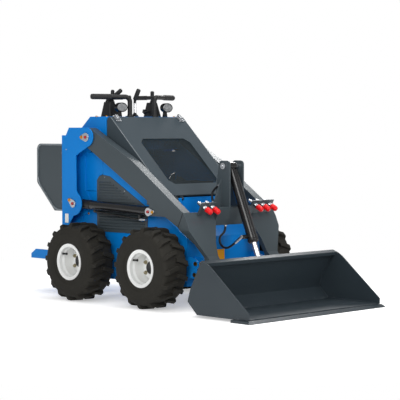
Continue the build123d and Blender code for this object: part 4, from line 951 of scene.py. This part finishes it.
# ----------------------------------------------------------------- controls
# Two bent tube handles carry foam grips. Black pods hold the drive levers in
# rubber boots, and a chromed selector rod stands between them.
for node in ("handlebar", "levers"):
    dress(node, black_plastic)
fit(edges_eased("control_pods", 1.2), "chassis", black_plastic)
foam = rubber("grip_foam", colour(30, 30, 31), 0.62, 600.0, peel=0.35)
HANDLE_Y = 109
GRIP_RIBS, RIB_PITCH = 9, 14
grips = []
for hand in (-1, 1):
    way = Vector((-88, hand * 257, 0)).normalized()
    tip = mm(-474, hand * 366, 1306) + way * 0.0005
    ribs = []
    for rib in range(GRIP_RIBS):
        far = RIB_PITCH * rib
        ribs += [(12 + far, 18.3), (22 + far, 18.3), (24 + far, 17.6)]
    start, end = [(0, 0), (0, 11), (2, 15), (6, 17.6)], [(140, 17.2), (141, 15.8)]
    grips.append(turned("grip", start + ribs + end, tip, -way, steps=28))
    back = mm(-556.5, hand * HANDLE_Y, 1303)
    grips.append(turned("rear_grip", [(0, 0), (0, 9), (2, 12.5), (6, 14.6), (96, 14.6), (98, 12.8)],
                        back, FORWARD, steps=24))
fit(joined("foam_grips", grips), "chassis", foam)
LEVER_FOOT_Z = 1273
# foot x and y, tip, grip radius, share of the length that is bare stem
LEVERS = (
    ((-482, -180), (-476, -178, 1351), 12.4, 0.5),
    ((-490, 188), (-488, 186, 1349), 12.8, 0.46),
    ((-504, -196), (-414, -159, 1350), 14.2, 0.42),
)
lever_grips = []
for foot, tip, radius, share in LEVERS:
    foot = mm(*foot, LEVER_FOOT_Z)
    way = mm(*tip) - foot
    span = way.length * 1000
    stem = span * share
    lever_grips.append(turned("lever_grip", [
        (stem, 6), (stem, radius - 2), (stem + 2, radius), (span - 5, radius),
        (span - 1.5, radius - 2.5), (span + 0.8, radius - 6), (span + 1.2, 0)],
        foot, way, steps=24))
SELECTOR_X = -457
selector_way = Vector((0.5, 0, 0.86))
lever_grips.append(turned("selector_grip", [
    (0, 0), (0, 11), (2, 14.6), (72, 14.6), (77, 12), (79, 8), (79.5, 0)],
    mm(SELECTOR_X, 0, 1289.5), selector_way, steps=24))
fit(joined("lever_grips", lever_grips), "chassis", foam)
boots = []
for foot, *_ in LEVERS:
    boots.append(turned("boot", [
        (0, 0), (0, 17), (3, 17.5), (6, 14), (9, 15.5), (12, 12), (15, 13.5), (18, 10), (21, 11),
        (24, 7.4), (28, 7)], mm(*foot, LEVER_FOOT_Z), (0.05, 0, 1), steps=20))
boots.append(turned("selector_boot", [
    (0, 0), (0, 26), (3, 27), (7, 20), (11, 22), (15, 14), (19, 15), (23, 9.6), (27, 9.2)],
    mm(SELECTOR_X, 0, CONSOLE_TOP), UP, steps=24))
fit(joined("lever_boots", boots), "chassis", black_plastic)
fit(turned("selector_rod", [(18, 8.2), (18, 8.8), (86, 8.8), (88, 8.2)],
           mm(SELECTOR_X, 0, CONSOLE_TOP), UP), "chassis", chrome)
post_feet = []
for hand in (-1, 1):
    post_feet.append(turned("post_foot", [
        (0, 15), (0, 30), (3, 30), (5, 28), (5, 18), (14, 17), (15, 15.6)],
        mm(-386, hand * HANDLE_Y, CONSOLE_TOP), UP, steps=28))
fit(joined("post_feet", post_feet), "chassis", dark_enamel)

# ---------------------------------------------------------------- work lamps
# Two oval lamps with black plastic housings stand on small brackets. Each has
# a fluted grey lens with a pair of round optics standing proud of it.
dress("work_lamps", gloss_black)
lens_finish = Finish("lamp_lens")
fluting = (lens_finish.along(1) * 900.0).sine()
lens_finish.bump(fluting, 0.35, 0.001)
lens_glass = lens_finish.set(
    Base_Color=lens_finish.mix(
        lens_finish.noise(60.0), colour(104, 106, 108), colour(146, 148, 150)),
    Metallic=0.3, Roughness=0.22 + 0.1 * (lens_finish.noise(30.0) - 0.5), Coat_Weight=0.8,
    Coat_Roughness=0.05)
dress("lamp_lenses", lens_glass)
lamp_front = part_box("lamp_lenses")[1].x * 1000
LAMP_Y, LAMP_Z = 203, 1237
BRACKET_X, BRACKET_TOP = -392, 1212
reflectors, brackets = [], []
for hand in (-1, 1):
    y = hand * LAMP_Y
    for across in (-17, 17):
        reflectors.append(turned("reflector", [
            (0, 0), (0, 14), (1.2, 14.4), (1.6, 12.8), (0.5, 9), (0.8, 4.5), (2.2, 3.6), (2.8, 0)],
            mm(lamp_front, y + across, LAMP_Z), FORWARD, steps=24))
    brackets.append(plate("bracket", [
        mm(BRACKET_X, y - 16, CONSOLE_TOP), mm(BRACKET_X, y + 16, CONSOLE_TOP),
        mm(BRACKET_X, y + 10, BRACKET_TOP), mm(BRACKET_X, y - 10, BRACKET_TOP)],
        mm(18, 0, 0), 1.5))
fit(joined("lamp_reflectors", reflectors), "chassis", lens_glass)
fit(joined("lamp_brackets", brackets), "chassis", dark_enamel)

# ------------------------------------------------------------------- engine
# The engine is a dark cast iron block that stands on the deck under the hood.
# It is seen only through the hood's screen.
dress("engine_block", rubber("engine_iron", colour(40, 40, 42), 0.6, 180.0, peel=0.4))

for master in (small_screw, rivet, flag_screw, lock_nut, wheel_nut, button):
    bpy.data.objects.remove(master)

# ------------------------------------------------------------ floor and light
# A white sweep under soft studio light: it shows white wherever the camera
# or a gloss sees it, and still takes the machine's shadow.
FLOOR_SIZE, FLOOR_Z, FLOOR_LIFT = 60, -0.0005, 0.42
WHITE_FROM, WHITE_OVER = 1.7, 1.6
bpy.ops.object.select_all(action="DESELECT")
bpy.ops.mesh.primitive_plane_add(size=FLOOR_SIZE, location=(0, 0, FLOOR_Z))
floor = bpy.context.object
floor.name = "floor"
floor_finish = Finish("floor")
floor_tree = floor_finish.tree
paper = floor_finish.node("BsdfDiffuse", Color=(0.9, 0.9, 0.9, 1))
lift = floor_finish.node("Emission", Color=(1, 1, 1, 1), Strength=FLOOR_LIFT)
white = floor_finish.node("Emission", Color=(1, 1, 1, 1), Strength=1.0)
rays = floor_finish.node("LightPath")
seen = (floor_finish.wire(rays, "Is Camera Ray") + floor_finish.wire(rays, "Is Glossy Ray")
        + floor_finish.wire(rays, "Is Transmission Ray")).clamped()
lifted = floor_finish.node("AddShader")
floor_tree.links.new(paper.outputs[0], lifted.inputs[0])
floor_tree.links.new(lift.outputs[0], lifted.inputs[1])
measure = floor_finish.node("VectorMath", {"operation": "LENGTH"}, Vector=floor_finish.place())
reach = floor_finish.wire(measure, "Value")
far_off = ((reach - WHITE_FROM) / WHITE_OVER).clamped()
near_or_far = floor_finish.node("MixShader")
floor_finish.feed(near_or_far, 0, far_off)
floor_tree.links.new(lifted.outputs[0], near_or_far.inputs[1])
floor_tree.links.new(white.outputs[0], near_or_far.inputs[2])
shown = floor_finish.node("MixShader")
floor_finish.feed(shown, 0, seen)
floor_tree.links.new(paper.outputs[0], shown.inputs[1])
floor_tree.links.new(near_or_far.outputs[0], shown.inputs[2])
floor_tree.links.new(shown.outputs[0], floor_tree.nodes["Material Output"].inputs["Surface"])
floor.data.materials.append(floor_finish.material)

WORLD_GLOW, WORLD_SEEN = 0.42, 1.0
world = bpy.data.worlds.new("studio")
bpy.context.scene.world = world
world.use_nodes = True
world_nodes = world.node_tree.nodes
world_links = world.node_tree.links
glow = world_nodes["Background"]
backdrop = world_nodes.new("ShaderNodeBackground")
for node, strength in ((glow, WORLD_GLOW), (backdrop, WORLD_SEEN)):
    node.inputs["Color"].default_value = (1, 1, 1, 1)
    node.inputs["Strength"].default_value = strength
world_rays = world_nodes.new("ShaderNodeLightPath")
choose = world_nodes.new("ShaderNodeMixShader")
world_links.new(world_rays.outputs["Is Camera Ray"], choose.inputs[0])
world_links.new(glow.outputs[0], choose.inputs[1])
world_links.new(backdrop.outputs[0], choose.inputs[2])
world_links.new(choose.outputs[0], world_nodes["World Output"].inputs["Surface"])


def soft_lamp(name, place, aim, size, power):
    """A square soft box at a place, turned to a point: metres and watts."""
    lamp_data = bpy.data.lights.new(name, "AREA")
    lamp_data.size = size
    lamp_data.energy = power
    lamp = bpy.data.objects.new(name, lamp_data)
    lamp.location = place
    lamp.rotation_euler = (Vector(aim) - Vector(place)).to_track_quat("-Z", "Y").to_euler()
    bpy.context.scene.collection.objects.link(lamp)


soft_lamp("key_lamp", (3.6, -5.4, 3.0), (0, 0, 0.5), 3.0, 200)
soft_lamp("top_lamp", (0.4, 0.3, 5.5), (0, 0, 0.5), 4.0, 150)
soft_lamp("front_lamp", (6.0, 0.6, 2.6), (0.3, 0, 0.4), 2.5, 110)
soft_lamp("rim_lamp", (-2.4, 4.6, 4.3), (0, -0.3, 0.8), 1.4, 80)
